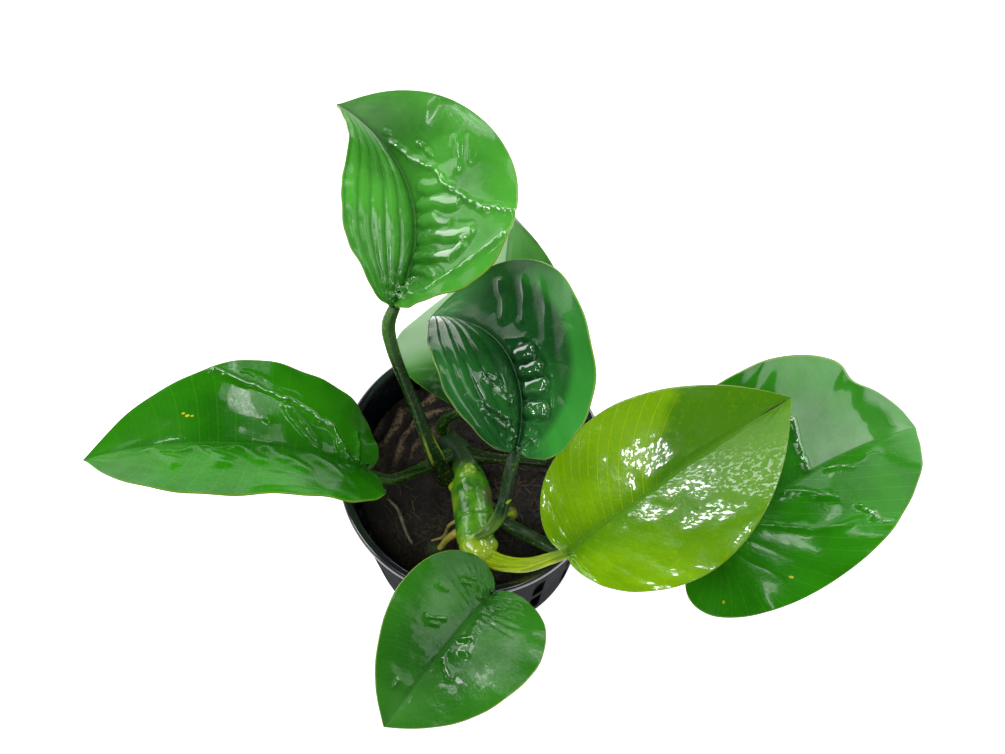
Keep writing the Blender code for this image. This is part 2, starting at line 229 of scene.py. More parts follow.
def surface_place(start):
    """The mesh's own map: two wires, each 0 to 1."""
    spot = start.node("UVMap", {"uv_map": "map"})
    split = start.node("SeparateXYZ", {}, {0: spot})
    return split, split.other(1)


def hollows(start):
    """1 in the creases of a blade, 0 on its ridges."""
    spot = start.node("UVMap", {"uv_map": "hollow"})
    return start.node("SeparateXYZ", {}, {0: spot})


def bump(start, height, depth, strength=1.0):
    return start.node("Bump", {}, {"Height": height, "Distance": depth, "Strength": strength})


print("shader sums ready")

# %% [markdown]
# ## Pieces and their maps
#
# Each piece starts as rows of points worked out with sums, not as a stock
# shape pushed about. A map of two numbers for each point travels with the
# mesh, so that a finish can follow the veins or run along a stalk. A finished
# piece is tied to the plant's frame, and the CAD node it stands for is hidden.

# %% Piece helpers
def add_piece(name, points, faces, skins, maps=None, face_skins=None):
    """A smooth mesh from points in millimetres. A third number on the map is
    kept on a second map, as how deep the point lies in a hollow."""
    mesh = bpy.data.meshes.new(name)
    mesh.from_pydata((np.asarray(points) * MM).tolist(), [], faces)
    if maps is not None:
        corners = np.zeros(len(mesh.loops), int)
        mesh.loops.foreach_get("vertex_index", corners)
        maps = np.asarray(maps, float)[corners]
        mesh.uv_layers.new(name="map").data.foreach_set("uv", maps[:, :2].ravel())
        if maps.shape[1] > 2:
            mesh.uv_layers.new(name="hollow").data.foreach_set("uv", np.repeat(maps[:, 2], 2))
    for skin in skins:
        mesh.materials.append(skin)
    if face_skins is not None:
        mesh.polygons.foreach_set("material_index", face_skins)
    mesh.polygons.foreach_set("use_smooth", [True] * len(mesh.polygons))
    mesh.update()
    made = bpy.data.objects.new(name, mesh)
    stage.collection.objects.link(made)
    return made


def place_piece(piece, node):
    """The piece rides with the plant and stands for a CAD node, if there is one."""
    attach(piece, "root")
    if node:
        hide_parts(node)
    print(piece.name, len(piece.data.polygons), "faces")


print("piece helpers ready")

# %% [markdown]
# ## Lumps
#
# Natural surfaces are uneven at many sizes at once. Blender's Displace
# modifier could do this with a noise texture, but the leaves need the height
# at exact places on their map. So the noise is worked out here: a repeatable
# random number at each corner of a lattice, eased between the corners, and
# finer lattices added at half the strength.

# %% Lumps
LATTICE_PRIMES = (374761393, 668265263, 2147483647)


def lattice(spot, seed):
    """A repeatable random number for each whole-number place."""
    n = spot @ np.array(LATTICE_PRIMES) + seed * 97531
    n = (n ^ (n >> 13)) * 1274126177
    return ((n ^ (n >> 16)) & 0xFFFFFF) / 0xFFFFFF


def lumps(points, size, seed=1, octaves=2):
    """Cloudy lumps from -1 to 1 at each point. size is a lump's width."""
    total = np.zeros(len(points))
    weight = 1.0
    for octave in range(octaves):
        p = np.asarray(points, float) / size * 2 ** octave
        whole = np.floor(p).astype(np.int64)
        part = p - whole
        part = part * part * (3 - 2 * part)
        value = 0
        for corner in range(8):
            step = np.array((corner & 1, corner >> 1 & 1, corner >> 2 & 1))
            share = np.prod(np.where(step, part, 1 - part), axis=-1)
            value = value + share * lattice(whole + step, seed + octave)
        total += weight * (2 * value - 1)
        weight *= 0.5
    return total


def soft_step(low, high, value):
    """0 below low, 1 above high, and a soft step between."""
    t = np.clip((value - low) / (high - low), 0, 1)
    return t * t * (3 - 2 * t)


def bell(value, middle, width):
    """A soft hump, 1 at the middle."""
    return np.exp(-((value - middle) / width) ** 2)


print("a lump at the origin:", round(float(lumps(np.zeros((1, 3)), 1.0)[0]), 3))

# %% [markdown]
# ## How a blade is shaped
#
# A blade of this plant is a flat heart drawn out to a point, then bent in
# space. The midrib is a curve that can bend down, sweep sideways and twist,
# and each half rises from it at an angle and curls on its way to the margin.
# The same sums and the same values shaped the CAD blades, so the fine blades
# lie exactly where the plain ones do.

# %% Blade values
BLADES = {
    "upper": dict(base=(-16.0, 23.2, 90.8), heading=65, pitch=-15, roll=4,
                  length=61.5, width=(19.0, 26.7), bend=-3, sweep=78, twist=-11,
                  lift=(42, 57), curl=(-28, -36), lobe=0.84, taper=2.27),
    "centre": dict(base=(9.8, -5.5, 80.4), heading=76, pitch=3, roll=8,
                   length=52.0, width=(22.7, 24.2), bend=-65, sweep=75, twist=-8,
                   lift=(35, 33), curl=(-8, 49), lobe=0.79, taper=2.04),
    "left": dict(base=(-23.2, -3.0, 58.8), heading=168, pitch=31, roll=32,
                 length=67.0, width=(24.5, 23.1), bend=-67, sweep=-10, twist=-17,
                 lift=(19, 9), curl=(11, -8), lobe=0.80, taper=1.90),
    "front": dict(base=(4.5, -31.7, 60.0), heading=-126, pitch=27, roll=-13,
                  length=40.0, width=(18.4, 16.7), bend=-20, sweep=6, twist=-2,
                  lift=(14, 18), curl=(18, -11), lobe=0.98, taper=1.55),
    "young": dict(base=(20.9, -23.2, 62.5), heading=40, pitch=1, roll=-4,
                  length=64.2, width=(20.4, 23.8), bend=-16, sweep=-5, twist=-1,
                  lift=(15, 16), curl=(-18, -20), lobe=0.96, taper=2.85),
    "right": dict(base=(54.0, -15.3, 46.0), heading=37, pitch=4, roll=8,
                  length=67.6, width=(28.8, 23.6), bend=-47, sweep=-13, twist=-3,
                  lift=(11, 11), curl=(15, -12), lobe=0.89, taper=0.88,
                  notch=(21, 0.075, 8)),
    "rear": dict(base=(0.8, 9.9, 60.0), heading=73, pitch=21, roll=-25,
                 length=53.4, width=(25.4, 24.5), bend=-31, sweep=41, twist=-26,
                 lift=(-1, 16), curl=(15, -20), lobe=0.63, taper=3.07),
}
BLADE_THICK, MARGIN_THICK, MIDRIB_DEPTH = 0.55, 0.35, 1.1
GROOVE_WIDE, KEEL_WIDE = 0.7, 0.9
VEIN_END = 0.8
print(len(BLADES), "blades")

# %% [markdown]
# ## From a flat heart to a bent blade
#
# A curve modifier could bend a flat leaf, but it can't lift and curl the two
# halves by themselves. Here the midrib is walked in small steps, and at each
# step three directions turn with it: ahead, left and up. A flat point then
# finds its step of the midrib and is set off to the side along an arc. The
# margin is a heart in polar form, scaled to the widths of its two halves.

# %% Blade sums
def turn(vector, axis, angle):
    """A vector turned about an axis of length 1."""
    return (vector * math.cos(angle) + np.cross(axis, vector) * math.sin(angle)
            + axis * axis.dot(vector) * (1 - math.cos(angle)))


def midrib(leaf, steps=40):
    """Points along the midrib, each with its directions: ahead, left and up."""
    heading, pitch, roll = (math.radians(leaf[k]) for k in ("heading", "pitch", "roll"))
    ahead = np.array((math.cos(heading) * math.cos(pitch), math.sin(heading) * math.cos(pitch),
                      math.sin(pitch)))
    left = np.array((-math.sin(heading), math.cos(heading), 0.0))
    up = np.cross(ahead, left)
    left, up = turn(left, ahead, roll), turn(up, ahead, roll)
    bend, sweep, twist = (math.radians(leaf[k]) / steps for k in ("bend", "sweep", "twist"))
    place = np.array(leaf["base"], float)
    rows = [(place, ahead, left, up)]
    for _ in range(steps):
        halfway = turn(turn(ahead, left, -bend / 2), up, sweep / 2)
        place = place + halfway * leaf["length"] / steps
        ahead, up = turn(ahead, left, -bend), turn(up, left, -bend)
        ahead, left = turn(ahead, up, sweep), turn(left, up, sweep)
        left = turn(left, ahead, twist)
        up = np.cross(ahead, left)
        rows.append((place, ahead, left, up))
    return [np.array(column) for column in zip(*rows)]


def on_blade(leaf, x, y, rib):
    """Flat blade positions, x along and y to the left, put in space."""
    steps = len(rib[0]) - 1
    s = np.clip(x / leaf["length"], 0, 1) * steps
    i = np.minimum(s.astype(int), steps - 1)
    f = (s - i)[:, None]
    at, out, across, rise = (a[i] * (1 - f) + a[i + 1] * f for a in rib)
    half = np.where(y > 0, *leaf["width"])
    lift = np.radians(np.where(y > 0, *leaf["lift"]))
    curl = np.radians(np.where(y > 0, *leaf["curl"]))
    share = np.abs(y) / half
    sideways = half / curl * (np.sin(lift + curl * share) - np.sin(lift))
    upward = half / curl * (np.cos(lift) - np.cos(lift + curl * share))
    return (at + out * np.minimum(x, 0)[:, None] + across * (np.sign(y) * sideways)[:, None]
            + rise * upward[:, None])


def margin(leaf, side, share):
    """The flat margin from the tip, share 0, round to the notch at the base, 1."""
    def raw(part):
        polar = math.pi * part ** 1.3
        reach = leaf["length"] * (1 - (polar / math.pi) ** leaf["lobe"]) ** leaf["taper"]
        if side > 0 and "notch" in leaf:
            where, depth, wide = leaf["notch"]
            dent = np.exp(-((np.degrees(polar) - where) / wide) ** 2)
            reach = reach * (1 - depth * np.minimum(dent, 4 * np.degrees(polar) / where))
        return reach * np.cos(polar), reach * np.sin(polar)
    widest = raw(np.linspace(0, 1, 200))[1].max()
    x, y = raw(share)
    return x, side * y * leaf["width"][0 if side > 0 else 1] / widest


print("midrib of the upper blade ends at", midrib(BLADES["upper"])[0][-1].round(1))

# %% [markdown]
# ## Relief of a blade
#
# Side veins leave the midrib and arch forward to the margin. Between two veins
# the blade swells into a pillow with a crease on each side, and short folds
# cross the pillows, so the light breaks up on them. Each row of the mesh
# follows a vein, so the pillows are a plain sum in two numbers: how far round
# the margin the vein ends, and how far along the vein the point is.
#
# Each blade has its own values, in pairs for its left and its right half:
# - veins is the number of pillows, and bunch how strongly the veins start
#   towards the base (the same for both halves, so that they join on the midrib)
# - gather packs the rows towards the tip, where a margin is short
# - quilt is the pillows' height, reach how far from the midrib they fade, and
#   folds the height of the cross folds
# - pleats are the number and height of long folds from base to tip, which
#   some halves have instead of pillows
# - wave is the margin's waves, pucker the small wrinkles at the base, and
#   groove the depth over the midrib
# - bare_tip is where the pillows of a smooth-tipped blade begin and are full

# %% Relief values
RELIEF = {
    "upper": dict(veins=(9, 15), bunch=1.2, gather=(1.5, 1.0), quilt=(0.08, 0.12),
                  reach=(0.95, 0.9), folds=(0.1, 0.1), wave=0.7, lumps=0.02, pucker=0.6,
                  pleats=((5.3, 0.55), None), groove=0.12),
    "centre": dict(veins=(9, 13), bunch=1.2, gather=(1.2, 1.0), quilt=(0.08, 0.10),
                   reach=(0.95, 0.9), folds=(0.1, 0.1), wave=0.5, lumps=0.015, pucker=0.6,
                   pleats=((5.2, 0.5), None), groove=0.3),
    "left": dict(veins=(9, 11), bunch=2.0, gather=(1.0, 1.0), quilt=(0.15, 0.06),
                 reach=(0.8, 0.4), folds=(0.3, 0.2), wave=0.6, lumps=0.02, pucker=0.25,
                 pleats=(None, None), groove=0.2),
    "front": dict(veins=(26, 26), bunch=1.8, gather=(1.0, 1.0), quilt=(0.07, 0.09),
                  reach=(0.75, 0.85), folds=(0.2, 0.2), wave=0.3, lumps=0.03, pucker=0.45,
                  pleats=(None, None), groove=0.06, bare_tip=(0.30, 0.62)),
    "young": dict(veins=(14, 14), bunch=4.0, gather=(1.0, 1.0), quilt=(0.05, 0.07),
                  reach=(0.9, 0.9), folds=(0.3, 0.5), wave=0.35, lumps=0.03, pucker=0.15,
                  pleats=(None, None), groove=0.25),
    "right": dict(veins=(8, 11), bunch=4.0, gather=(1.0, 1.0), quilt=(0.08, 0.06),
                  reach=(0.7, 0.85), folds=(0.1, 0.1), wave=0.9, lumps=0.015, pucker=0.1,
                  pleats=(None, None), groove=0.15),
    "rear": dict(veins=(9, 9), bunch=2.0, gather=(1.0, 1.0), quilt=(0.15, 0.15),
                 reach=(0.8, 0.8), folds=(0.3, 0.3), wave=0.5, lumps=0.02, pucker=0.2,
                 pleats=(None, None), groove=0.3),
}
# Rows along the margin and columns from the midrib outwards: most for the
# blade with the finest folds, least for the one that is mostly hidden.
DENSE, FINE, PLAIN = (250, 90), (190, 64), (130, 44)
GRIDS = {"centre": DENSE, "rear": PLAIN}
print("relief values for", len(RELIEF), "blades")

# %% [markdown]
# ## Folds
#
# Some folds belong to one leaf alone: a shoulder where the blade bends over, a
# thin rim round a hollow, or a long bean beside the midrib. Each is a line on
# the flat blade, in millimetres along the midrib and away from it, with a
# height and a width. They could be sculpted by hand, but a line with a width
# is easy to move. A crest is a sharp ridge, a bean has a round top with a
# crease about it, and a swell is a soft rise.

# %% Fold values
FOLDS = {
    ("upper", -1): (
        ("crest", ((44, 2), (37, 4), (31.5, 8), (26.5, 10), (20, 16), (18, 19), (16.2, 26)), 0.9, 0.6),
        ("crest", ((0.5, 1.8), (1.5, 9.3), (5.8, 14.2), (9, 18.7), (12, 24)), 0.8, 0.8),
        ("bean", ((12.6, 1.5), (10.4, 7.8), (10.0, 11.9), (12.0, 14.2)), 0.7, 1.5),
        ("bean", ((17.6, 2), (15.0, 9.5), (13.8, 15.5)), 0.6, 1.7),
        ("bean", ((21.8, 2), (17.8, 9.8)), 0.5, 1.5),
        ("bean", ((26.0, 2.2), (21.6, 12.0)), 0.5, 1.6),
        ("bean", ((29.9, 3.4), (25.2, 11)), 0.4, 1.4),
        ("bean", ((9.0, 1.9), (5.7, 9.5)), 0.5, 1.3),
        ("crest", ((0.8, 2.2), (3.0, 0.9), (6.0, 3.4)), 0.8, 0.4),
        ("crest", ((1.6, 4.6), (3.6, 2.6), (6.4, 1.0)), 0.7, 0.4),
        ("swell", ((32.5, 18.5), (28.8, 17.0)), 0.4, 0.9),
        ("swell", ((33.9, 16.0), (28.3, 13.8)), 0.4, 0.9),
        ("swell", ((43, 14), (38, 7)), 0.3, 1.6),
        ("bean", ((38.4, 7.6), (37.2, 8.2)), 0.35, 0.7),
        ("bean", ((35.8, 8.6), (34.8, 9.1)), 0.35, 0.7),
        ("bean", ((46.8, 2.6), (45.8, 3.2)), 0.35, 0.7),
    ),
    ("upper", 1): (
        ("crest", ((0.8, 1.4), (3.2, 1.0), (5.5, 2.6)), 0.7, 0.4),
    ),
    ("centre", 1): (
        ("crest", ((0.6, 2.6), (2.2, 1.0), (3.6, 2.4)), 0.7, 0.4),
        ("crest", ((15.2, 10.6), (13.6, 10.4), (11.4, 7.2), (9.2, 4.2), (9.4, 3.0), (10.8, 3.1),
                   (13.4, 5.8), (15.4, 9.0), (15.2, 10.6)), 1.0, 0.45),
        ("crest", ((6.6, 11.6), (5.1, 11.0), (4.1, 7.5), (3.2, 4.4), (3.9, 3.4), (5.2, 4.0),
                   (6.2, 7.0), (7.2, 10.4), (6.6, 11.6)), 1.0, 0.45),
    ),
    ("centre", -1): (
        ("crest", ((27, 1.7), (23.7, 5.4), (18.7, 8.0), (14, 8.2), (8, 7.6)), 0.4, 0.6),
        ("bean", ((21.8, 1.9), (20.9, 4.6)), 0.9, 1.6),
        ("bean", ((17.7, 1.9), (16.9, 5.2)), 1.0, 1.7),
        ("bean", ((13.3, 1.9), (12.7, 5.4)), 1.0, 1.8),
        ("bean", ((8.5, 1.9), (7.8, 5.0)), 1.0, 1.7),
        ("crest", ((0.6, 1.0), (2.4, 2.4), (1.4, 4.2)), 0.7, 0.4),
        ("swell", ((36, 11), (32, 5)), 0.5, 1.0),
        ("swell", ((31.5, 13.6), (27.3, 7.5)), 0.5, 1.0),
        ("swell", ((27.6, 17), (20.4, 9.4)), 0.4, 1.2),
    ),
    ("left", -1): (
        ("crest", ((37, 19), (31, 16.6), (23.6, 14), (15, 11), (8.6, 7.6), (5, 1.3)), 0.8, 0.55),
        ("crest", ((30, 19.5), (22, 16.2), (17, 14)), 0.25, 0.5),
        ("crest", ((20.4, 11.2), (18.4, 10.4), (15.4, 7.6), (12.6, 4.4), (12.0, 2.2), (13.8, 3.0),
                   (16.8, 5.8), (19.6, 9.2), (20.4, 11.2)), 0.5, 0.4),
        ("swell", ((23.4, 6.8), (22.8, 6.4)), 0.3, 0.6),
        ("crest", ((2.8, 9), (2.3, 1.5)), 0.5, 0.6),
    ),
    ("left", 1): (
        ("swell", ((48, 2), (42, 8)), 0.6, 1.8),
        ("swell", ((38, 2), (31, 9)), 0.7, 2.0),
        ("swell", ((29, 2), (24, 7)), 0.6, 1.8),
        ("swell", ((23, 1.5), (15, 9)), 0.7, 2.0),
        ("swell", ((13, 2), (7, 8)), 0.6, 1.9),
        ("crest", ((56, 1.5), (44, 3.0), (30, 2.5)), 0.35, 1.0),
    ),
    ("front", -1): (
        ("crest", ((16.2, 7.6), (14.8, 6.0), (13.6, 4.6)), 0.55, 0.45),
        ("crest", ((17.0, 6.4), (15.6, 4.8)), 0.35, 0.4),
        ("crest", ((9.0, 9.5), (8.6, 8.1)), 0.4, 0.4),
        ("crest", ((3.2, 7.3), (2.4, 6.2), (1.5, 5.0)), 0.45, 0.4),
        ("crest", ((4.4, 6.4), (3.2, 5.2)), 0.45, 0.35),
        ("swell", ((30.4, 6.3), (30.7, 1.6)), 0.35, 1.4),
        ("crest", ((31.0, 4.6), (32.4, 4.0)), 0.5, 0.5),
    ),
    ("front", 1): (
        ("crest", ((20.4, 1.4), (21.8, 2.8), (23.2, 4.4)), 0.6, 0.5),
        ("crest", ((18.2, 0.9), (20.0, 1.0), (21.8, 0.8)), 0.55, 0.45),
        ("crest", ((-1.1, 5.6), (-1.2, 7.1)), 0.5, 0.4),
        ("swell", ((8, 2), (16, 4)), 0.35, 1.3),
        ("crest", ((14, 1.2), (12.4, 3.4)), 0.5, 0.5),
    ),
    ("right", 1): (
        ("crest", ((30, 12), (28.6, 6), (28.0, 0.8)), 0.9, 0.7),
    ),
    ("right", -1): (
        ("crest", ((20, 0.8), (25, 4), (30, 8)), 0.4, 1.2),
        ("crest", ((33, 1), (40, 3), (48, 3)), 0.4, 1.2),
        ("crest", ((8, 2), (20, 12), (36, 17)), 0.3, 1.2),
        ("crest", ((33.8, 12.6), (34.8, 14.4), (36.4, 15.6)), 0.7, 0.4),
        ("crest", ((36.0, 16.0), (36.6, 18.0), (38.6, 19.4)), 0.7, 0.4),
        ("crest", ((34.6, 16.4), (37.2, 15.0)), 0.6, 0.35),
    ),
}
print(len(FOLDS), "blade halves have folds of their own")

# %% [markdown]
# ## Height of a fold
#
# A fold's height depends only on the distance from its line. The distance is
# first made a little wrong by lumps, so that no fold runs quite straight, and
# a crest is beaded along its length, as a wet ridge is.

# %% Fold sums
def from_line(x, y, line):
    """Distance of each flat point from a line of points."""
    least = np.full(x.shape, 1e9)
    for (ax, ay), (bx, by) in zip(line, line[1:]):
        dx, dy = bx - ax, by - ay
        part = np.clip(((x - ax) * dx + (y - ay) * dy) / (dx * dx + dy * dy), 0, 1)
        least = np.minimum(least, np.hypot(x - ax - part * dx, y - ay - part * dy))
    return least


def folded(name, side, x, y, seed):
    """Height of a blade half's own folds at flat points, y taken as positive."""
    flat = np.stack([x, y, np.full_like(x, seed)], -1).reshape(-1, 3)
    stray = [0.5 * lumps(flat, 3.0, seed + k).reshape(x.shape) for k in (50, 60)]
    height = np.zeros_like(x)
    for kind, line, rise, wide in FOLDS.get((name, side), ()):
        away = from_line(x + stray[0], y + stray[1], line) / wide
        if kind == "crest":
            beads = 1 + 0.35 * lumps(flat, 1.1, seed + 70).reshape(x.shape)
            height += rise * beads / (1 + away ** 2) ** 1.5
        elif kind == "swell":
            height += rise * np.exp(-away ** 2)
        elif kind == "bean":
            crease = 0.35 * np.exp(-((away - 1.15) / 0.3) ** 2)
            height += rise * (np.sqrt(np.clip(1 - away ** 2, 0, 1)) - crease)
    return height


kinds = {kind for folds in FOLDS.values() for kind, *_ in folds}
print("kinds of fold:", sorted(kinds))

# %% [markdown]
# ## The whole relief
#
# The relief adds up four things: pillows between the veins or long pleats,
# fine lumps, wrinkles where the stalk joins, and the folds above. The margin's
# waves are kept apart, because they bend the blade and don't make the hollows
# that are darkened as painted shade.

# %% Relief sums
def pillows(look, half, share, t, drift, seed):
    """Height of the quilting between the side veins."""
    run = share * look["veins"][half] + 0.25 + 0.18 * drift
    pillow = 1 - np.abs(2 * (run % 1) - 1) ** 1.8
    strip = np.floor(run)
    beat = t * (3.5 + 1.2 * np.sin(strip * 2.1)) + 0.37 * strip + 0.2 * drift
    cross = np.cos(2 * math.pi * beat)
    reach = look["reach"][half]
    if "bare_tip" in look:
        reach = reach * soft_step(*look["bare_tip"], share)
    body = soft_step(0.0, 0.12, t) * (1 - 0.85 * soft_step(reach - 0.22, reach + 0.12, t))
    quilt = look["quilt"][half] * (1 + 0.35 * np.sin(strip * 1.7 + seed))
    return quilt * body * (pillow * (1 + look["folds"][half] * cross) - 0.5)


def pleated(count, rise, share, t, drift):
    """Height of long folds from base to tip."""
    fold = np.abs(np.sin(math.pi * (t * count + 0.05 * drift)))
    fade = soft_step(0, 0.10, share)
    return rise * (fold ** 0.6 - 0.7) * fade * (1 - 0.7 * soft_step(0.55, 0.9, share))


def margin_waves(look, half, share, t, seed):
    """Waves that grow towards the margin, long ones with short ones on them."""
    ripple = look["wave"] * t ** 3 * np.sin(2 * math.pi * (share * 4.3 + 0.21 * seed + 0.4 * half))
    ripple += 0.3 * look["wave"] * t ** 5 * np.sin(2 * math.pi * (share * 11.7 + 0.4 * seed))
    return ripple * np.sin(math.pi * np.clip(share * 1.15, 0, 1))


def relief(name, side, x, y, share, t, seed):
    """Height of the upper face over the smooth blade, in millimetres: the
    relief, and apart from it the broad waves."""
    look, half = RELIEF[name], 0 if side > 0 else 1
    spot = np.stack([share * 9, t * 4, np.full_like(t, seed + 5 * half)], -1).reshape(-1, 3)
    drift = lumps(spot, 1.0, seed).reshape(t.shape)
    flat = np.stack([x, y, np.full_like(x, seed)], -1).reshape(-1, 3)
    height = pillows(look, half, share, t, drift, seed)
    height += look["lumps"] * lumps(flat, 2.2, seed + 3).reshape(t.shape) * soft_step(0.0, 0.1, t)
    if look["pleats"][half]:
        height += pleated(*look["pleats"][half], share, t, drift)
    near_base = np.exp(-(np.hypot(x - 2.5, y) / 4.5) ** 2)
    height += look["pucker"] * near_base * lumps(flat, 1.5, seed + 6).reshape(t.shape)
    broad = 0.22 * lumps(flat, 11.0, seed + 9, 1).reshape(t.shape) * soft_step(0.0, 0.3, t)
    return height + folded(name, side, x, y, seed), margin_waves(look, half, share, t, seed) + broad


flat_spot = np.full((1, 1), 0.5)
print("relief at one point:", relief("upper", 1, flat_spot, flat_spot, flat_spot, flat_spot, 1)[0].round(3))

# %% [markdown]
# ## Mesh of a blade
#
# A subdivided plane has its rows across the leaf, and its corners would cut
# through the veins. Here the rows follow the veins and the columns run from
# the midrib to the margin, so the mesh is fine where the leaf is. The two
# halves are welded on the midrib, raised by the relief and given an underside
# with a keel, and a narrow rim closes the margin.

# %% Blade mesh
def blade_half(name, side, rows, columns, rib, seed):
    """Points in space, heights, flat places and map of one half's grid."""
    leaf, look, half = BLADES[name], RELIEF[name], 0 if side > 0 else 1
    share = np.linspace(0, 1, rows + 1)[:, None]
    t = (np.linspace(0, 1, columns + 1) ** 1.15)[None, :]
    edge_x, edge_y = margin(leaf, side, share ** look["gather"][half])
    start = leaf["length"] * np.clip(1 - share / VEIN_END, 0, 1) ** look["bunch"]
    x = (1 - t) ** 2 * start + 2 * t * (1 - t) * (start + 0.3 * (edge_x - start)) + t * t * edge_x
    y = 2 * t * (1 - t) * 0.6 * edge_y + t * t * edge_y
    share, t = np.broadcast_to(share, x.shape), np.broadcast_to(t, x.shape)
    spots = on_blade(leaf, x.ravel(), y.ravel() + side * 1e-9, rib)
    quilting, broad = relief(name, side, x, np.abs(y), share, t, seed)
    return (spots, np.stack([quilting.ravel(), broad.ravel()], 1),
            np.stack([x.ravel(), np.abs(y.ravel())], 1), np.stack([side * share.ravel(), t.ravel()], 1))


def point_normals(points, cells):
    normals = np.zeros_like(points)
    facing = np.cross(points[cells[:, 2]] - points[cells[:, 0]], points[cells[:, 3]] - points[cells[:, 1]])
    for corner in range(4):
        np.add.at(normals, cells[:, corner], facing)
    return normals / np.maximum(np.linalg.norm(normals, axis=1), 1e-12)[:, None]


def welded_heights(heights, index, count):
    """The mean height of the grid points that share a welded point."""
    rises, hits = np.zeros((count, 2)), np.zeros(count)
    np.add.at(rises, index, heights)
    np.add.at(hits, index, 1)
    return rises / hits[:, None]


def blade_mesh(name, seed):
    """Points, faces, map and face sides of a blade, upper face first."""
    leaf, look = BLADES[name], RELIEF[name]
    rows, columns = GRIDS.get(name, FINE)
    rib = midrib(leaf, 80)
    halves = [blade_half(name, side, rows, columns, rib, seed) for side in (1, -1)]
    spots, heights, flats, maps = (np.concatenate(a) for a in zip(*halves))

    _, first, index = np.unique(np.round(spots, 3), axis=0, return_index=True, return_inverse=True)
    index = index.ravel()
    each = (rows + 1) * (columns + 1)
    grid = np.arange(each).reshape(rows + 1, columns + 1)
    cells = np.stack([grid[:-1, :-1], grid[:-1, 1:], grid[1:, 1:], grid[1:, :-1]], -1).reshape(-1, 4)
    cells = np.concatenate([index[cells], index[cells[:, ::-1] + each]])
    points, flat, place_on_map = spots[first], flats[first], maps[first]
    normals = point_normals(points, cells)

    rises = welded_heights(heights, index, len(first))
    rise = rises.sum(axis=1)
    thick = BLADE_THICK + (MARGIN_THICK - BLADE_THICK) * place_on_map[:, 1]
    ahead = np.clip(1 - flat[:, 0] / leaf["length"], 0, 1)
    groove = look["groove"] * np.exp(-(flat[:, 1] / GROOVE_WIDE) ** 2) * (0.2 + 0.8 * ahead)
    keel = MIDRIB_DEPTH * ahead * np.exp(-(flat[:, 1] / KEEL_WIDE) ** 2)
    top = points + normals * (rise - groove)[:, None]
    low = points + normals * (rise - thick - keel)[:, None]

    count = len(points)
    rings = [[v for k, v in enumerate(ring) if v != ring[k - 1]] for ring in cells.tolist()]
    rings = [ring for ring in rings if len(set(ring)) >= 3]
    faces = rings + [[v + count for v in ring[::-1]] for ring in rings]
    left_edge, right_edge = index[grid[:, -1]], index[grid[:, -1] + each]
    loop = list(left_edge) + list(right_edge[::-1][1:])
    rim = [(b, a, a + count, b + count) for a, b in zip(loop, loop[1:]) if a != b]
    sides = [0] * len(rings) + [1] * len(rings) + [0] * len(rim)
    hollow = np.clip(0.45 - 0.6 * (rises[:, 0] - 1.5 * groove), 0, 1)
    marks = np.column_stack([place_on_map, hollow])
    return np.vstack([top, low]), faces + rim, np.vstack([marks, marks]), sides


trial = blade_mesh("front", 1)
print("a blade has", len(trial[0]), "points and", len(trial[1]), "faces")

# %% [markdown]
# ## Finish of a blade
#
# A wet leaf is a green body under a thin clear film. The body's colour drifts
# slowly, darkens beside the midrib and carries pale side veins with finer ones
# between, and the creases of the relief are darkened with painted shade. The
# margin is a thin yellow line. A painted picture could carry all this, but sums
# on the leaf's own map stay sharp at any distance, and the same sums serve
# seven leaves with seven sets of values.

# %% Blade tints
# Colours as red, green and blue. outer is how far each half lightens towards
# the margin, tips how strongly its tip takes the tip's colour, and veining how
# plain its veins are. The tip colour of the upper and the centre blade is a
# painted pale sheen, and that of the young blade a painted shade, where the
# right blade lies behind it.
TINTS = {
    "upper": dict(dark=(0.010, 0.100, 0.006), light=(0.065, 0.32, 0.030), vein=(0.085, 0.36, 0.035),
                  outer=(0.3, 0.5), tip=(0.34, 0.50, 0.30), tips=(0.8, 0.25), veining=(0.1, 0.1)),
    "centre": dict(dark=(0.003, 0.030, 0.010), light=(0.020, 0.135, 0.022), vein=(0.03, 0.18, 0.03),
                   outer=(0.2, 0.95), tip=(0.26, 0.38, 0.26), tips=(0.8, 0.2), veining=(0.1, 0.1)),
    "left": dict(dark=(0.004, 0.075, 0.001), light=(0.021, 0.195, 0.002), vein=(0.06, 0.28, 0.010),
                 outer=(0.3, 0.3), tip=(0.05, 0.24, 0.02), tips=(0.6, 0.3), veining=(0.15, 0.15)),
    "front": dict(dark=(0.005, 0.060, 0.003), light=(0.026, 0.165, 0.009), vein=(0.06, 0.26, 0.03),
                  outer=(0.4, 0.4), tip=(0.05, 0.20, 0.03), tips=(0.7, 0.7), veining=(0.2, 0.2)),
    "young": dict(dark=(0.030, 0.145, 0.001), light=(0.18, 0.38, 0.001), vein=(0.42, 0.54, 0.004),
                  outer=(0.5, 0.5), tip=(0.06, 0.18, 0.008), tips=(0.8, 0.5), veining=(0.35, 0.12)),
    "right": dict(dark=(0.004, 0.085, 0.001), light=(0.024, 0.23, 0.003), vein=(0.08, 0.32, 0.02),
                  outer=(0.4, 0.3), tip=(0.05, 0.28, 0.02), tips=(0.6, 0.4), veining=(0.08, 0.20)),
    "rear": dict(dark=(0.020, 0.12, 0.012), light=(0.060, 0.27, 0.025), vein=(0.08, 0.30, 0.04),
                 outer=(0.3, 0.3), tip=(0.06, 0.27, 0.03), tips=(0.3, 0.3), veining=(0.1, 0.1)),
}
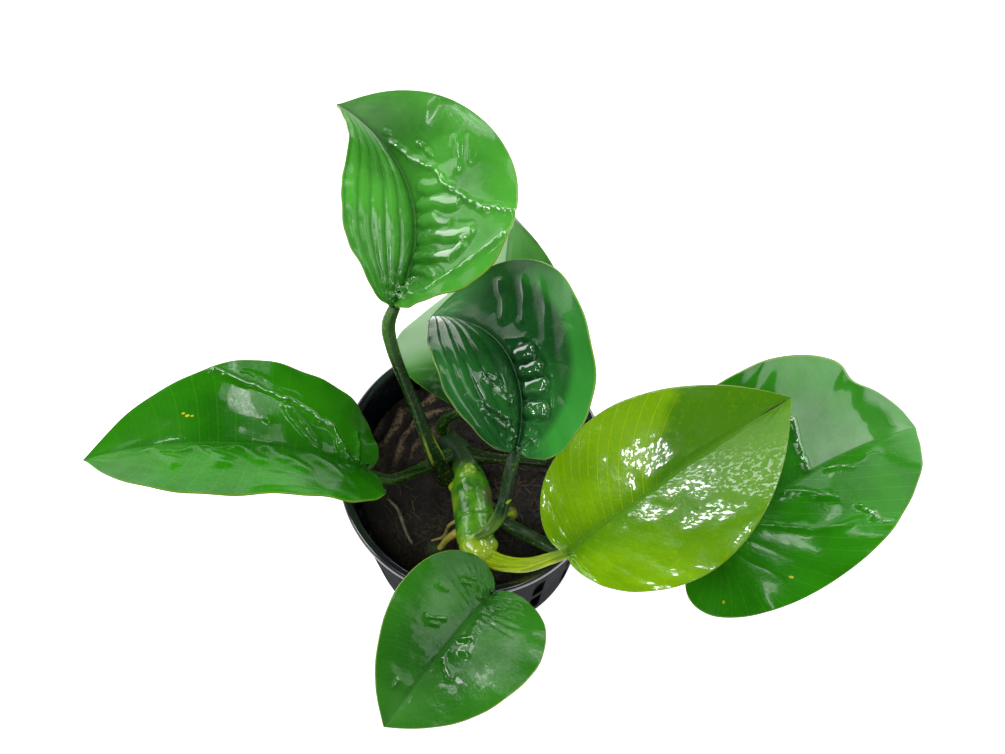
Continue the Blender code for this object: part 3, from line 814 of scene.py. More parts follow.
# Patches of their own: half, where they begin and end round the margin, how
# far along the vein they begin (each soft from the first to the second number),
# colour and strength.
AT_ONCE, NEVER = (-2.0, -1.0), (2.0, 3.0)
PATCHES = {
    "centre": ((-1, (0.19, 0.26), (0.60, 0.75), (0.54, 0.70), (0.042, 0.29, 0.036), 0.95),
               (-1, AT_ONCE, (0.08, 0.15), AT_ONCE, (0.030, 0.20, 0.030), 0.7)),
    # The young blade's patches are painted shade near its tip, where the right blade lies behind it.
    "young": ((1, AT_ONCE, (0.158, 0.182), AT_ONCE, (0.030, 0.145, 0.001), 0.8),
              (-1, AT_ONCE, (0.16, 0.40), AT_ONCE, (0.045, 0.180, 0.004), 0.65)),
    # The rear blade's pale grey-green patch at the tip end of its left half is a painted sheen; its second
    # patch darkens the left half from the middle of the margin to the base.
    "rear": ((1, AT_ONCE, (0.26, 0.42), AT_ONCE, (0.36, 0.52, 0.33), 0.8),
             (1, (0.36, 0.50), NEVER, AT_ONCE, (0.008, 0.045, 0.010), 0.95)),
}
MARGIN_TINT = (0.20, 0.32, 0.03)
MARGIN_LINE = (0.984, 0.994)
# Small marks: place on the blade's map, radius in map units, colour.
MARKS = {
    "left": ((-0.176, 0.42, 0.0035, (0.50, 0.48, 0.02)), (-0.182, 0.37, 0.0045, (0.50, 0.48, 0.02)),
             (-0.190, 0.35, 0.0035, (0.40, 0.45, 0.02))),
    "young": ((0.0, 0.0, 0.035, (0.03, 0.018, 0.006)),),
    "front": ((0.0, 0.0, 0.030, (0.05, 0.025, 0.010)),),
    "right": ((-0.49, 0.70, 0.005, (0.50, 0.50, 0.02)), (-0.69, 0.81, 0.005, (0.45, 0.45, 0.02))),
}


def on_half(across, pair):
    """The first value on the left half of a blade, the second on the right."""
    left = across.smooth(-0.001, 0.001)
    return left * pair[0] + (1 - left) * pair[1]


def body_colour(start, name):
    """The green of the body with its clouds, painted shade in its creases, its veins and its patches, among
    them painted shade on the young blade and a painted sheen on the rear one.
    """
    tint, pillow_count = TINTS[name], sum(RELIEF[name]["veins"])
    place = object_place(start)
    across, along = surface_place(start)
    share = across.absolute()
    cloud = noise(start, place, 55, 3).smooth(0.3, 0.7)
    base = (cloud * 0.7).pick(tint["light"], tint["dark"])
    base = (along.smooth(0.4, 0.9) * on_half(across, tint["outer"])).pick(base, tint["light"])
    near_rib = 1 - along.smooth(0.0, 0.3)
    base = (near_rib * 0.5).pick(base, tint["dark"])
    # Painted shade: the creases of the relief are darkened towards the dark green.
    base = (hollows(start).smooth(0.35, 0.9) * 0.75).pick(base, tint["dark"])
    broken = noise(start, place, 90, 2).smooth(0.3, 0.45)
    veins = share.lines(pillow_count * 1.5, 0.05) * broken
    fine_veins = share.lines(pillow_count * 6, 0.16) * 0.25
    base = ((veins + fine_veins) * on_half(across, tint["veining"])).pick(base, tint["vein"])
    stray = share + 0.05 * (noise(start, place, 120, 3) - 0.5)
    # Some patches are painted light: the young blade's are painted shade, and the rear blade's pale one is
    # a painted sheen.
    for side, begin, end, out, colour, strength in PATCHES.get(name, ()):
        patch = stray.smooth(*begin) * (1 - stray.smooth(*end)) * along.smooth(*out)
        patch = patch * on_half(across, (1, 0) if side > 0 else (0, 1))
        base = (patch * strength).pick(base, colour)
    freckle = noise(start, place, 900, 2).smooth(0.55, 0.75)
    return (freckle * 0.15).pick(base, tint["vein"])


def edge_colour(start, name, base):
    """The body's colour with its tip, which is a painted sheen on the upper and centre blades and a painted
    shade on the young one, its margin line and small marks.
    """
    tint = TINTS[name]
    across, along = surface_place(start)
    # The tip's colour: a painted pale sheen on the upper and centre blades, a painted shade on the young
    # blade.
    tip = (1 - across.absolute().smooth(0.02, 0.25)) * (1 - along.smooth(0.3, 0.9) * 0.7)
    base = (tip * on_half(across, tint["tips"])).pick(base, tint["tip"])
    base = (along.smooth(*MARGIN_LINE) * 0.6).pick(base, MARGIN_TINT)
    for u, v, radius, colour in MARKS.get(name, ()):
        away = (across - u) ** 2.0 + ((along - v) * 0.2) ** 2.0
        base = (1 - away.smooth(0.3 * radius ** 2, radius ** 2)).pick(base, colour)
    return base


print("tints for", len(TINTS), "blades")

# %% [markdown]
# ## Water on a blade
#
# The film of water is the shader's coat: clear, smooth, and weaker where it
# has run off. Its weight changes over the leaf, in patches and small drops. A
# sharp ridge carries a full film, and since the map of hollows knows where the
# ridges are, they shine as thin white lines. Under the coat the leaf's own
# shine is weak, and a fine grain scatters part of it into specks.

# %% Blade film
# How wet a blade is: the film's weight on the left and on the right half and
# how patchy it is, the shine of the face under it and how strongly its grain
# breaks that up, the share of small drops, how dry the margin is, and how wet
# the ridges of the left and of the right half are.
WET = {
    "upper": dict(film=(0.24, 0.17), patchy=0.6, shine=0.12, grain=0.35,
                  drops=0.05, dry=0.8, ridge=(1.0, 1.0)),
    "centre": dict(film=(0.32, 0.12), patchy=0.6, shine=0.04, grain=0.30,
                   drops=0.05, dry=0.0, ridge=(1.0, 1.0)),
    "left": dict(film=(0.01, 0.11), patchy=0.5, shine=0.04, grain=0.30,
                 drops=0.07, dry=0.3, ridge=(0.10, 1.0)),
    "front": dict(film=(0.11, 0.10), patchy=0.8, shine=0.08, grain=0.30,
                  drops=0.07, dry=0.9, ridge=(1.0, 1.0)),
    "young": dict(film=(0.02, 0.02), patchy=0.3, shine=0.10, grain=0.35,
                  drops=0.75, dry=0.0, ridge=(0.3, 0.3)),
    "right": dict(film=(0.50, 0.05), patchy=0.2, shine=0.09, grain=0.30,
                  drops=0.03, dry=0.3, ridge=(1.0, 0.9)),
    "rear": dict(film=(0.01, 0.01), patchy=0.3, shine=0.02, grain=0.20,
                 drops=0.0, dry=0.0, ridge=(0.0, 0.0)),
}


def film_weight(start, name):
    """How much water lies at each place: film, drops and wet ridges."""
    wet = WET[name]
    place = object_place(start)
    across, along = surface_place(start)
    patchy = noise(start, place, 140, 4, 0.6).smooth(0.38, 0.62) * (1.3 * wet["patchy"])
    cover = (patchy + (1 - wet["patchy"])) * (1 - along.smooth(0.55, 0.80) * wet["dry"])
    drop_place = start.node("CombineXYZ", {}, {0: across * 170, 1: along * 20, 2: 0.0})
    drops = noise(start, drop_place, 1.0, 3, 0.6).smooth(0.53, 0.57) * wet["drops"]
    drops = drops * across.absolute().smooth(0.06, 0.15)
    ridge = on_half(across, wet["ridge"]) * (1 - hollows(start).smooth(0.02, 0.26))
    return on_half(across, wet["film"]) * cover + drops + ridge


def blade_skin(name):
    def paint(start):
        place = object_place(start)
        _, along = surface_place(start)
        off_rib = along.smooth(0.015, 0.06)
        grain = noise(start, place, 2600, 2) + 2.0 * noise(start, place, 1100, 3)
        return {"Base Color": edge_colour(start, name, body_colour(start, name)),
                "Roughness": 0.10 + 0.10 * noise(start, place, 260, 2) + 0.5 * (1 - off_rib),
                "Coat Weight": off_rib * film_weight(start, name),
                "Normal": bump(start, grain, 0.00006, WET[name]["grain"])}

    return finish(f"blade_{name}", paint, {"Coat Roughness": 0.06, "Coat IOR": 1.9,
                                           "Specular IOR Level": WET[name]["shine"]})


def under_skin(name):
    """The underside: paler and duller, with the veins showing through."""
    tint, pillow_count = TINTS[name], sum(RELIEF[name]["veins"])
    pale = tuple(0.6 * c + 0.05 for c in tint["light"])
    deep = tuple(0.6 * c for c in pale)

    def paint(start):
        place = object_place(start)
        across, along = surface_place(start)
        base = noise(start, place, 70, 3).pick(deep, pale)
        base = (across.absolute().lines(pillow_count / 2, 0.05) * 0.5).pick(base, tint["vein"])
        base = (along.smooth(*MARGIN_LINE) * 0.6).pick(base, MARGIN_TINT)
        return {"Base Color": base,
                "Normal": bump(start, noise(start, place, 2200, 2), 0.00004, 0.5)}

    return finish(f"under_{name}", paint, {"Roughness": 0.45, "Coat Weight": 0.3, "Coat Roughness": 0.2})


print("water values for", len(WET), "blades")

# %% [markdown]
# ## The seven blades
#
# One loop makes them all. The place of a blade in the list is the seed of its
# lumps, so that no two leaves share their unevenness.

# %% Blades
for number, name in enumerate(BLADES):
    points, faces, maps, sides = blade_mesh(name, number + 1)
    blade = add_piece(f"{name}_blade", points, faces, [blade_skin(name), under_skin(name)], maps, sides)
    place_piece(blade, f"blade_{name}")

# %% [markdown]
# ## Stalks
#
# Each leaf stands on a round stalk with a channel along its upper side. Near
# the foot the channel opens into two thin lips, the sheath that once wrapped
# the next leaf, and just under the blade the stalk has a rough swollen knee.
# Each stalk has a path from the rhizome to its blade, in millimetres, the
# radius at each point of the path, and the share of its length that the open
# sheath takes.

# %% Stalk values
STALKS = {
    "upper": (((-5.4, -2.4, 46.3), (-7.3, 0.1, 50.0), (-9.9, 4.6, 57.0), (-12.4, 9.3, 66.0),
               (-14.9, 13.2, 74.5), (-16.8, 16.8, 82.0), (-17.4, 20.0, 87.0)),
              (2.1, 2.0, 1.6, 1.35, 1.3, 1.4, 1.5, 1.2), 0.3),
    "centre": (((0.8, -18.4, 57.4), (2.9, -17.3, 57.5), (5.0, -15.6, 58.7), (6.6, -13.3, 61.0),
                (7.4, -10.9, 63.8), (8.1, -8.7, 69.5), (8.9, -6.9, 75.5)),
               (0.7, 1.1, 1.4, 1.45, 1.35, 1.35, 1.35, 1.2), 0.0),
    "left": (((-4.4, 4.6, 46.2), (-8.0, 2.9, 46.4), (-12.8, -0.7, 49.4), (-18.5, -4.2, 54.6)),
             (1.6, 1.5, 1.3, 1.2, 1.1), 0.0),
    "front": (((1.2, -20.6, 53.0), (1.9, -24.0, 54.5), (3.2, -27.8, 56.5)),
              (1.9, 1.5, 1.3, 1.1), 0.0),
    "young": (((1.9, -20.3, 53.5), (4.5, -22.6, 54.8), (8.2, -24.0, 55.8), (12.4, -24.4, 57.0),
               (16.6, -23.8, 59.2)),
              (2.2, 2.0, 1.75, 1.6, 1.35, 1.2), 0.25),
    "right": (((2.5, -7.5, 48.4), (6.7, -12.0, 49.2), (10.5, -15.0, 51.0), (17.9, -19.9, 55.2),
               (28.1, -23.8, 56.2), (39.0, -22.5, 50.5), (48.5, -18.2, 43.0)),
              (1.7, 1.7, 1.6, 1.5, 1.4, 1.35, 1.3, 1.2), 0.0),
    "rear": (((-6.6, 9.6, 46.3), (-6.9, 10.4, 49.0), (-5.3, 11.0, 52.6), (-3.0, 10.8, 56.0)),
             (1.6, 1.4, 1.3, 1.25, 1.1), 0.0),
}
BARE_STALK = (((-1.6, 4.6, 46.7), (1.6, 3.6, 47.4), (5.0, 3.1, 47.3), (9.0, 2.9, 46.9),
               (13.0, 2.6, 46.6), (17.1, 2.0, 46.4)), (1.7, 1.5, 1.3, 1.15, 1.1, 1.1))
# A sprout no longer than a grain of rice stands on the centre stalk's sheath.
SPROUT = (((7.7, -12.7, 64.4), (8.2, -12.4, 65.0), (8.8, -12.1, 65.4)), (0.3, 0.28, 0.1))
print(len(STALKS), "stalks and a bare one")

# %% [markdown]
# ## Sweeping a bar
#
# A curve object with a bevel would make a plain round stalk at once. These
# need a section that changes on the way, so rings of points are set along a
# smooth path and joined. Each ring is turned so that its first point stays on
# the upper side, where the channel is.

# %% Sweep
ROUNDED_END = 1 / 40


def smooth_path(points, sizes, rings):
    """A Catmull-Rom curve through the points, with the size along it."""
    knots = np.array([(*p, r) for p, r in zip(points, sizes)], float)
    knots = np.vstack([2 * knots[0] - knots[1], knots, 2 * knots[-1] - knots[-2]])
    spans = len(knots) - 3
    out = []
    for u in np.linspace(0, spans, rings):
        i = min(int(u), spans - 1)
        t = u - i
        a, b, c, d = knots[i:i + 4]
        out.append(0.5 * (2 * b + (c - a) * t + (2 * a - 5 * b + 4 * c - d) * t ** 2
                          + (3 * b - 3 * c + d - a) * t ** 3))
    out = np.array(out)
    return out[:, :3], out[:, 3]


def sweep(points, sizes, rings, steps, section=None, above=(0.0, 0.0, 1.0)):
    """Points, faces and map of a closed bar. section scales each ring's radius
    from how far along it is and the angle from its upper side."""
    centres, radii = smooth_path(points, sizes, rings)
    along = np.gradient(centres, axis=0)
    along /= np.linalg.norm(along, axis=1)[:, None]
    angles = np.linspace(-math.pi, math.pi, steps, endpoint=False)
    up = np.array(above, float)
    verts, maps = [], []
    for number, (centre, size, direction) in enumerate(zip(centres, radii, along)):
        up = up - direction * up.dot(direction)
        up /= np.linalg.norm(up)
        side = np.cross(direction, up)
        s = number / (rings - 1)
        from_end = max(0.0, 1 - min(s, 1 - s) / ROUNDED_END)
        end = min(1.0, math.sqrt(max(0.0, 1 - from_end ** 2)) + 0.05)
        scale = section(s, angles) if section else np.ones(steps)
        outward = np.cos(angles)[:, None] * up + np.sin(angles)[:, None] * side
        verts.append(centre + (size * end * scale)[:, None] * outward)
        maps.append(np.stack([np.linspace(0, 1, steps, endpoint=False), np.full(steps, s)], 1))
    verts, maps = np.concatenate(verts), np.concatenate(maps)
    grid = np.arange(rings * steps).reshape(rings, steps)
    near = np.roll(grid, -1, axis=1)
    cells = np.stack([grid[:-1], grid[1:], near[1:], near[:-1]], -1).reshape(-1, 4)[:, ::-1]
    faces = cells.tolist() + [grid[0].tolist(), grid[-1].tolist()[::-1]]
    return verts, faces, maps


def stalk_section(sheath):
    """A section with a channel, and with lips over the sheath's share."""
    def section(s, angles):
        channel = -0.20 * bell(angles, 0.0, 0.55) * (1 - float(soft_step(0.85, 1.0, s)))
        open_part = sheath > 0 and 1 - float(soft_step(sheath * 0.7, sheath, s))
        lips = 0.22 * open_part * (bell(angles, 0.75, 0.22) + bell(angles, -0.75, 0.22))
        deep = -0.20 * open_part * bell(angles, 0.0, 0.45)
        knee = 0.035 * math.sin(s * 260) * float(bell(s, 0.9, 0.06))
        return 1 + channel + lips + deep + knee
    return section


def stalk_end(name):
    """Where a stalk meets its blade: just under the notch, in the midrib."""
    leaf = BLADES[name]
    place, ahead, left, up = (column[0] for column in midrib(leaf))
    return tuple(place - up * 1.25 + ahead * 1.0)


print("the upper stalk ends at", [round(float(c), 1) for c in stalk_end("upper")])

# %% [markdown]
# ## Finish of a stalk
#
# A stalk's skin is striped along its length and flecked, and the channel on
# its upper side is darkened with painted shade. Some stalks have a foot or a
# knee of another colour, the upper stalk's near-black foot being painted shade,
# and an open sheath has yellow edges. The stripes are a noise drawn out along
# the stalk's own map.

# %% Stalk finish
SHEATH_EDGE = (0.30, 0.36, 0.03)


def stalk_skin(name, dark, light, fleck, foot=None, knee=None, edges=None):
    """foot is a colour with where it fades out, knee with where it fades in,
    edges from where to where the sheath has pale edges, and how pale."""
    def paint(start):
        place = object_place(start)
        round_it, along = surface_place(start)
        drawn_out = start.node("CombineXYZ", {}, {0: round_it * 22, 1: along * 4, 2: 0.0})
        stripe = start.node("TexNoise", {"noise_dimensions": "2D"},
                            {"Vector": drawn_out, "Scale": 1.0, "Detail": 3.0})
        base = stripe.smooth(0.35, 0.65).pick(dark, light)
        if foot:
            base = (1 - along.smooth(foot[1] * 0.7, foot[1])).pick(base, foot[0])
        if knee:
            base = (along.smooth(knee[1], knee[1] + 0.1) * 0.7).pick(base, knee[0])
        spots = noise(start, place, 1500, 2).smooth(0.56, 0.7)
        base = (spots * 0.5).pick(base, fleck)
        # Painted shade: the channel along the upper side is darkened.
        from_top = (round_it - 0.5).absolute()
        base = ((1 - from_top.smooth(0.05, 0.11)) * 0.5).pick(base, dark)
        if edges:
            rim = from_top.smooth(0.09, 0.12) * (1 - from_top.smooth(0.15, 0.19))
            reach = along.smooth(edges[0] * 0.8, edges[0]) * (1 - along.smooth(edges[1] * 0.8, edges[1]))
            base = (rim * reach * edges[2]).pick(base, SHEATH_EDGE)
        height = stripe + 0.5 * noise(start, place, 1800, 2)
        return {"Base Color": base, "Roughness": 0.25 + 0.2 * noise(start, place, 500, 2),
                "Normal": bump(start, height, 0.00008, 0.6)}

    return finish(name, paint, {"Coat Weight": 0.12, "Coat Roughness": 0.1, "Specular IOR Level": 0.15,
                                "Subsurface Weight": 0.1, "Subsurface Radius": (0.4, 1.0, 0.2),
                                "Subsurface Scale": 0.001})


DEEP, LEAFY, YELLOW = (0.004, 0.024, 0.005), (0.018, 0.080, 0.010), (0.24, 0.30, 0.04)
STALK_LOOKS = {
    # The upper stalk's near-black foot is painted shade, where it runs behind the rhizome.
    "upper": dict(dark=DEEP, light=LEAFY, fleck=YELLOW, foot=((0.003, 0.010, 0.002), 0.24),
                  knee=((0.08, 0.22, 0.04), 0.62), edges=(0.22, 0.34, 0.7)),
    "centre": dict(dark=(0.004, 0.022, 0.006), light=(0.017, 0.075, 0.014), fleck=(0.20, 0.28, 0.06),
                   foot=((0.10, 0.22, 0.02), 0.45)),
    "left": dict(dark=DEEP, light=(0.04, 0.12, 0.012), fleck=YELLOW, edges=(-1.0, 0.95, 0.5)),
    "front": dict(dark=(0.015, 0.07, 0.008), light=(0.07, 0.22, 0.02), fleck=YELLOW),
    "young": dict(dark=(0.20, 0.34, 0.003), light=(0.42, 0.54, 0.006), fleck=(0.55, 0.58, 0.03),
                  knee=((0.10, 0.22, 0.01), 0.80)),
    "right": dict(dark=(0.005, 0.024, 0.004), light=(0.020, 0.075, 0.010), fleck=(0.22, 0.18, 0.05)),
    "rear": dict(dark=(0.004, 0.022, 0.004), light=(0.018, 0.07, 0.009), fleck=YELLOW),
    # The bare stalk's near-black greens are painted shade, where it lies under the leaves.
    "bare": dict(dark=(0.003, 0.015, 0.002), light=(0.014, 0.046, 0.006), fleck=(0.24, 0.18, 0.04)),
}
stalk_skins = {name: stalk_skin(f"stalk_{name}_skin", **look) for name, look in STALK_LOOKS.items()}

for name, (points, sizes, sheath) in STALKS.items():
    mesh = sweep(points + (stalk_end(name),), sizes, 110, 28, stalk_section(sheath))
    stalk = add_piece(f"{name}_stalk", mesh[0], mesh[1], [stalk_skins[name]], mesh[2])
    place_piece(stalk, f"stalk_{name}")

mesh = sweep(*BARE_STALK, 90, 24, stalk_section(0.0))
bare = add_piece("bare_stalk", mesh[0], mesh[1], [stalk_skins["bare"]], mesh[2])
place_piece(bare, "stalk_bare")
mesh = sweep(*SPROUT, 16, 10)
sprout = add_piece("sprout", mesh[0], mesh[1], [stalk_skins["young"]], mesh[2])
place_piece(sprout, None)

# %% [markdown]
# ## Rhizome
#
# The thick creeping stem is a row of short swollen joints. Each old leaf left
# a ring-shaped scar, and small yellow buds sit beside the scars. Bars and
# balls that overlap are melted into one skin with a voxel remesh, the way clay
# is pressed together, and the scars are then pressed into that skin.

# %% Rhizome mesh
RHIZOME_PATH = ((-1.4, 3.0, 43.0), (-1.0, -1.0, 45.5), (0.0, -7.0, 48.5),
                (0.5, -13.0, 51.0), (1.0, -18.0, 53.0), (2.3, -21.4, 54.0))
RHIZOME_SIZES = (3.2, 4.0, 4.6, 4.3, 4.1, 3.3)
REAR_PATH = ((-1.0, 0.5, 45.5), (-1.6, 3.0, 45.6), (-3.6, 6.2, 45.2), (-6.6, 9.4, 44.6))
REAR_SIZES = (3.4, 3.1, 2.8, 2.4)
BUDS = (((-0.7, -0.3, 49.2), 1.7), ((-4.3, -3.7, 47.6), 1.2), ((4.2, -19.0, 54.2), 1.8))
CROWN_RADIUS, TAIL_RADIUS = 3.3, 3.2
# Each scar's distance along the rhizome and its depth.
SCARS = ((7.5, 0.10), (18.0, 0.18), (23.5, 0.22))
VOXEL, SMOOTH_ROUNDS = 0.3, 6


def ball(centre, radius, steps=20, rings=12):
    """Points and faces of a closed ball."""
    points = [centre + np.array((0, 0, -radius))]
    for i in range(1, rings):
        polar = math.pi * i / rings
        for k in range(steps):
            angle = 2 * math.pi * k / steps
            points.append(centre + radius * np.array((math.sin(polar) * math.cos(angle),
                                                      math.sin(polar) * math.sin(angle), -math.cos(polar))))
    points.append(centre + np.array((0, 0, radius)))
    faces = []
    for k in range(steps):
        n = (k + 1) % steps
        faces.append((0, 1 + n, 1 + k))
        for i in range(rings - 2):
            a = 1 + i * steps
            faces.append((a + k, a + n, a + steps + n, a + steps + k))
        last = 1 + (rings - 2) * steps
        faces.append((last + k, last + n, len(points) - 1))
    return np.array(points), faces


def joined(shapes):
    """Several shapes as one list of points and one of faces."""
    points, faces, start = [], [], 0
    for shape in shapes:
        points.append(np.asarray(shape[0]))
        faces.extend([v + start for v in face] for face in shape[1])
        start += len(shape[0])
    return np.concatenate(points), faces


def settled(thing):
    """The thing's modifiers are made real."""
    graph = bpy.context.evaluated_depsgraph_get()
    mesh = bpy.data.meshes.new_from_object(thing.evaluated_get(graph))
    thing.modifiers.clear()
    thing.data = mesh
    return thing


def melted(name, shapes, voxel, rounds):
    """Overlapping shapes as one smooth skin. voxel in millimetres."""
    thing = add_piece(name, *joined(shapes), [])
    remesh = thing.modifiers.new("melt", "REMESH")
    remesh.mode, remesh.voxel_size = "VOXEL", voxel * MM
    ease = thing.modifiers.new("ease", "SMOOTH")
    ease.factor, ease.iterations = 0.5, rounds
    return settled(thing)


def press(thing, push):
    """Moves each point along its own normal by push(points), in millimetres."""
    mesh = thing.data
    points = np.zeros(len(mesh.vertices) * 3)
    mesh.vertices.foreach_get("co", points)
    points = points.reshape(-1, 3) / MM
    normals = np.zeros(len(points) * 3)
    mesh.vertices.foreach_get("normal", normals)
    points += normals.reshape(-1, 3) * push(points)[:, None]
    mesh.vertices.foreach_set("co", (points * MM).ravel())
    mesh.polygons.foreach_set("use_smooth", [True] * len(mesh.polygons))
    mesh.update()


def rhizome_relief(points):
    """A slow unevenness, with a groove and a soft rim at each scar."""
    centres, _ = smooth_path(RHIZOME_PATH, RHIZOME_SIZES, 120)
    run = np.concatenate([[0], np.cumsum(np.linalg.norm(np.diff(centres, axis=0), axis=1))])
    nearest = np.argmin(((points[:, None] - centres[None]) ** 2).sum(2), axis=1)
    s = run[nearest] + 0.12 * points[:, 0] + 0.5 * lumps(points, 4.0, 5)
    height = 0.10 * lumps(points, 2.5, 9, 3)
    for scar, depth in SCARS:
        height += 0.5 * depth * bell(s, scar + 0.9, 0.7) - depth * bell(s, scar, 0.35)
    return height


rhizome = melted("rhizome_body", [
    sweep(RHIZOME_PATH, RHIZOME_SIZES, 40, 28), sweep(REAR_PATH, REAR_SIZES, 24, 24),
    ball(np.array(RHIZOME_PATH[-1]), CROWN_RADIUS), ball(np.array(RHIZOME_PATH[0]), TAIL_RADIUS),
    *(ball(np.array(centre), radius) for centre, radius in BUDS)], VOXEL, SMOOTH_ROUNDS)
press(rhizome, rhizome_relief)
print("the rhizome has", len(rhizome.data.vertices), "points")

# %% [markdown]
# ## Finish of the rhizome
#
# The rhizome is dark and dull at its back end, green in the middle, and the
# crown where new leaves grow is yellow. The change runs with the depth into the
# picture, and round spots of colour mark the buds, the old scars and a few
# other places. A scuffed brown bark breaks the gloss.

# %% Rhizome finish
def around_point(place, point, radius):
    """1 at a point in space, 0 from the radius on, both in millimetres."""
    middle = tuple(c * MM for c in point)
    away = place.node("VectorMath", {"operation": "DISTANCE"}, {0: place, 1: middle}, out=1)
    return 1 - away.smooth(0.3 * radius * MM, radius * MM)


# Place, radius, colour and strength of each spot.
RHIZOME_SPOTS = (
    ((-4.4, -9.0, 50.0), 3.6, (0.28, 0.46, 0.020), 0.8),
    ((-0.7, -0.3, 50.4), 2.4, (0.24, 0.42, 0.015), 0.8),
    ((-4.6, -3.7, 47.6), 2.2, (0.38, 0.48, 0.02), 0.9),
    ((3.6, -7.2, 51.0), 3.0, (0.14, 0.12, 0.06), 0.8),
    ((-0.4, -5.8, 52.6), 0.9, (0.34, 0.40, 0.12), 0.8),
    ((3.0, -21.0, 56.5), 1.0, (0.10, 0.06, 0.02), 0.8),
    ((-1.6, -10.5, 53.6), 1.6, (0.03, 0.14, 0.01), 0.7),
)


def rhizome_paint(start):
    place = object_place(start)
    depth = start.node("SeparateXYZ", {}, {0: place}).other(1)
    rear = depth.smooth(-0.001, 0.003)
    crown = 1 - depth.smooth(-0.021, -0.016)
    cloud = noise(start, place, 160, 3).smooth(0.35, 0.65)
    base = cloud.pick((0.030, 0.19, 0.006), (0.14, 0.40, 0.012))
    base = (crown * 0.85).pick(base, (0.36, 0.50, 0.010))
    base = (rear * 0.94).pick(base, (0.004, 0.022, 0.003))
    for point, radius, colour, strength in RHIZOME_SPOTS:
        base = (around_point(place, point, radius) * strength).pick(base, colour)
    scuff = noise(start, place, 420, 4, 0.65).smooth(0.62, 0.70)
    base = (scuff * 0.45).pick(base, (0.12, 0.10, 0.035))
    height = noise(start, place, 700, 3) + 0.4 * noise(start, place, 2400, 2)
    return {"Base Color": base,
            "Roughness": 0.25 + 0.25 * scuff + 0.4 * rear,
            "Coat Weight": 0.7 - 0.65 * rear,
            "Normal": bump(start, height, 0.00010, 0.6)}


rhizome.data.materials.append(finish("rhizome_finish", rhizome_paint, {
    "Coat Roughness": 0.1, "Specular IOR Level": 0.3, "Subsurface Weight": 0.2,
    "Subsurface Radius": (0.5, 1.0, 0.2), "Subsurface Scale": 0.0015}))
place_piece(rhizome, "rhizome")

# %% [markdown]
# ## Roots
#
# A short thick yellow root, a thin brown one and a pale strand on the wool are
# swept bars that taper, a little crooked so that they don't look drawn.

# %% Roots
ROOTS = {
    "thick": (((-2.6, -14.8, 51.0), (-5.4, -16.1, 48.2), (-7.4, -17.6, 45.3)), (0.9, 0.85, 0.65)),
    "thin": (((-3.0, -12.4, 50.4), (-5.0, -13.0, 48.6), (-6.3, -14.6, 45.2), (-9.2, -15.6, 44.9)),
             (0.5, 0.42, 0.4, 0.3)),
    "strand": (((-19.1, -5.6, 44.7), (-16.8, -8.4, 44.9), (-15.2, -12.7, 44.8), (-13.5, -16.2, 44.6)),
               (0.3, 0.4, 0.4, 0.3)),
}


def root_skin(name, dark, light):
    def paint(start):
        place = object_place(start)
        base = noise(start, place, 500, 3).smooth(0.35, 0.65).pick(dark, light)
        return {"Base Color": base, "Normal": bump(start, noise(start, place, 2000, 3), 0.0001, 0.7)}
    return finish(name, paint, {"Roughness": 0.45, "Coat Weight": 0.3, "Coat Roughness": 0.2})


root_looks = {
    "thick": root_skin("root_yellow", (0.34, 0.30, 0.035), (0.55, 0.52, 0.09)),
    "thin": root_skin("root_brown", (0.16, 0.12, 0.03), (0.32, 0.27, 0.07)),
    "strand": root_skin("root_pale", (0.07, 0.055, 0.03), (0.15, 0.12, 0.07)),
}
for name, (points, sizes) in ROOTS.items():
    verts, faces, maps = sweep(points, sizes, 60, 16)
    crooked = np.stack([lumps(verts, 2.0, seed) for seed in (21, 22, 23)], 1)
    root = add_piece(f"{name}_root", verts + 0.12 * crooked, faces, [root_looks[name]], maps)
    place_piece(root, f"root_{name}")

# %% [markdown]
# ## Mineral wool
#
# The plug is felted brown wool, soaked and worn. Real wool is all fibres, but
# hair would not travel with the model. So its top is a dense round grid pushed
# up and down by lumps and by wrinkles that run round the edge, and a few
# hundred loose fibres lie over it as thin bars.

# %% Wool mesh
WOOL_PROFILE = ((0.0, 44.2), (6.0, 44.2), (13.0, 44.1), (18.5, 43.9), (21.6, 43.2), (23.9, 41.8),
                (25.6, 40.4), (26.3, 38.2), (24.8, 24.0), (23.6, 9.0), (22.9, 3.2), (22.0, 2.1))
WOOL_RADIUS = 26.3
# Waves round the plug: how many, how high, where they start.
WOOL_WAVES = ((3, 0.3, 0.7), (7, 0.2, 2.1))
WRINKLE_SIDE = 2.4
FIBRES_WITHIN = 22.5


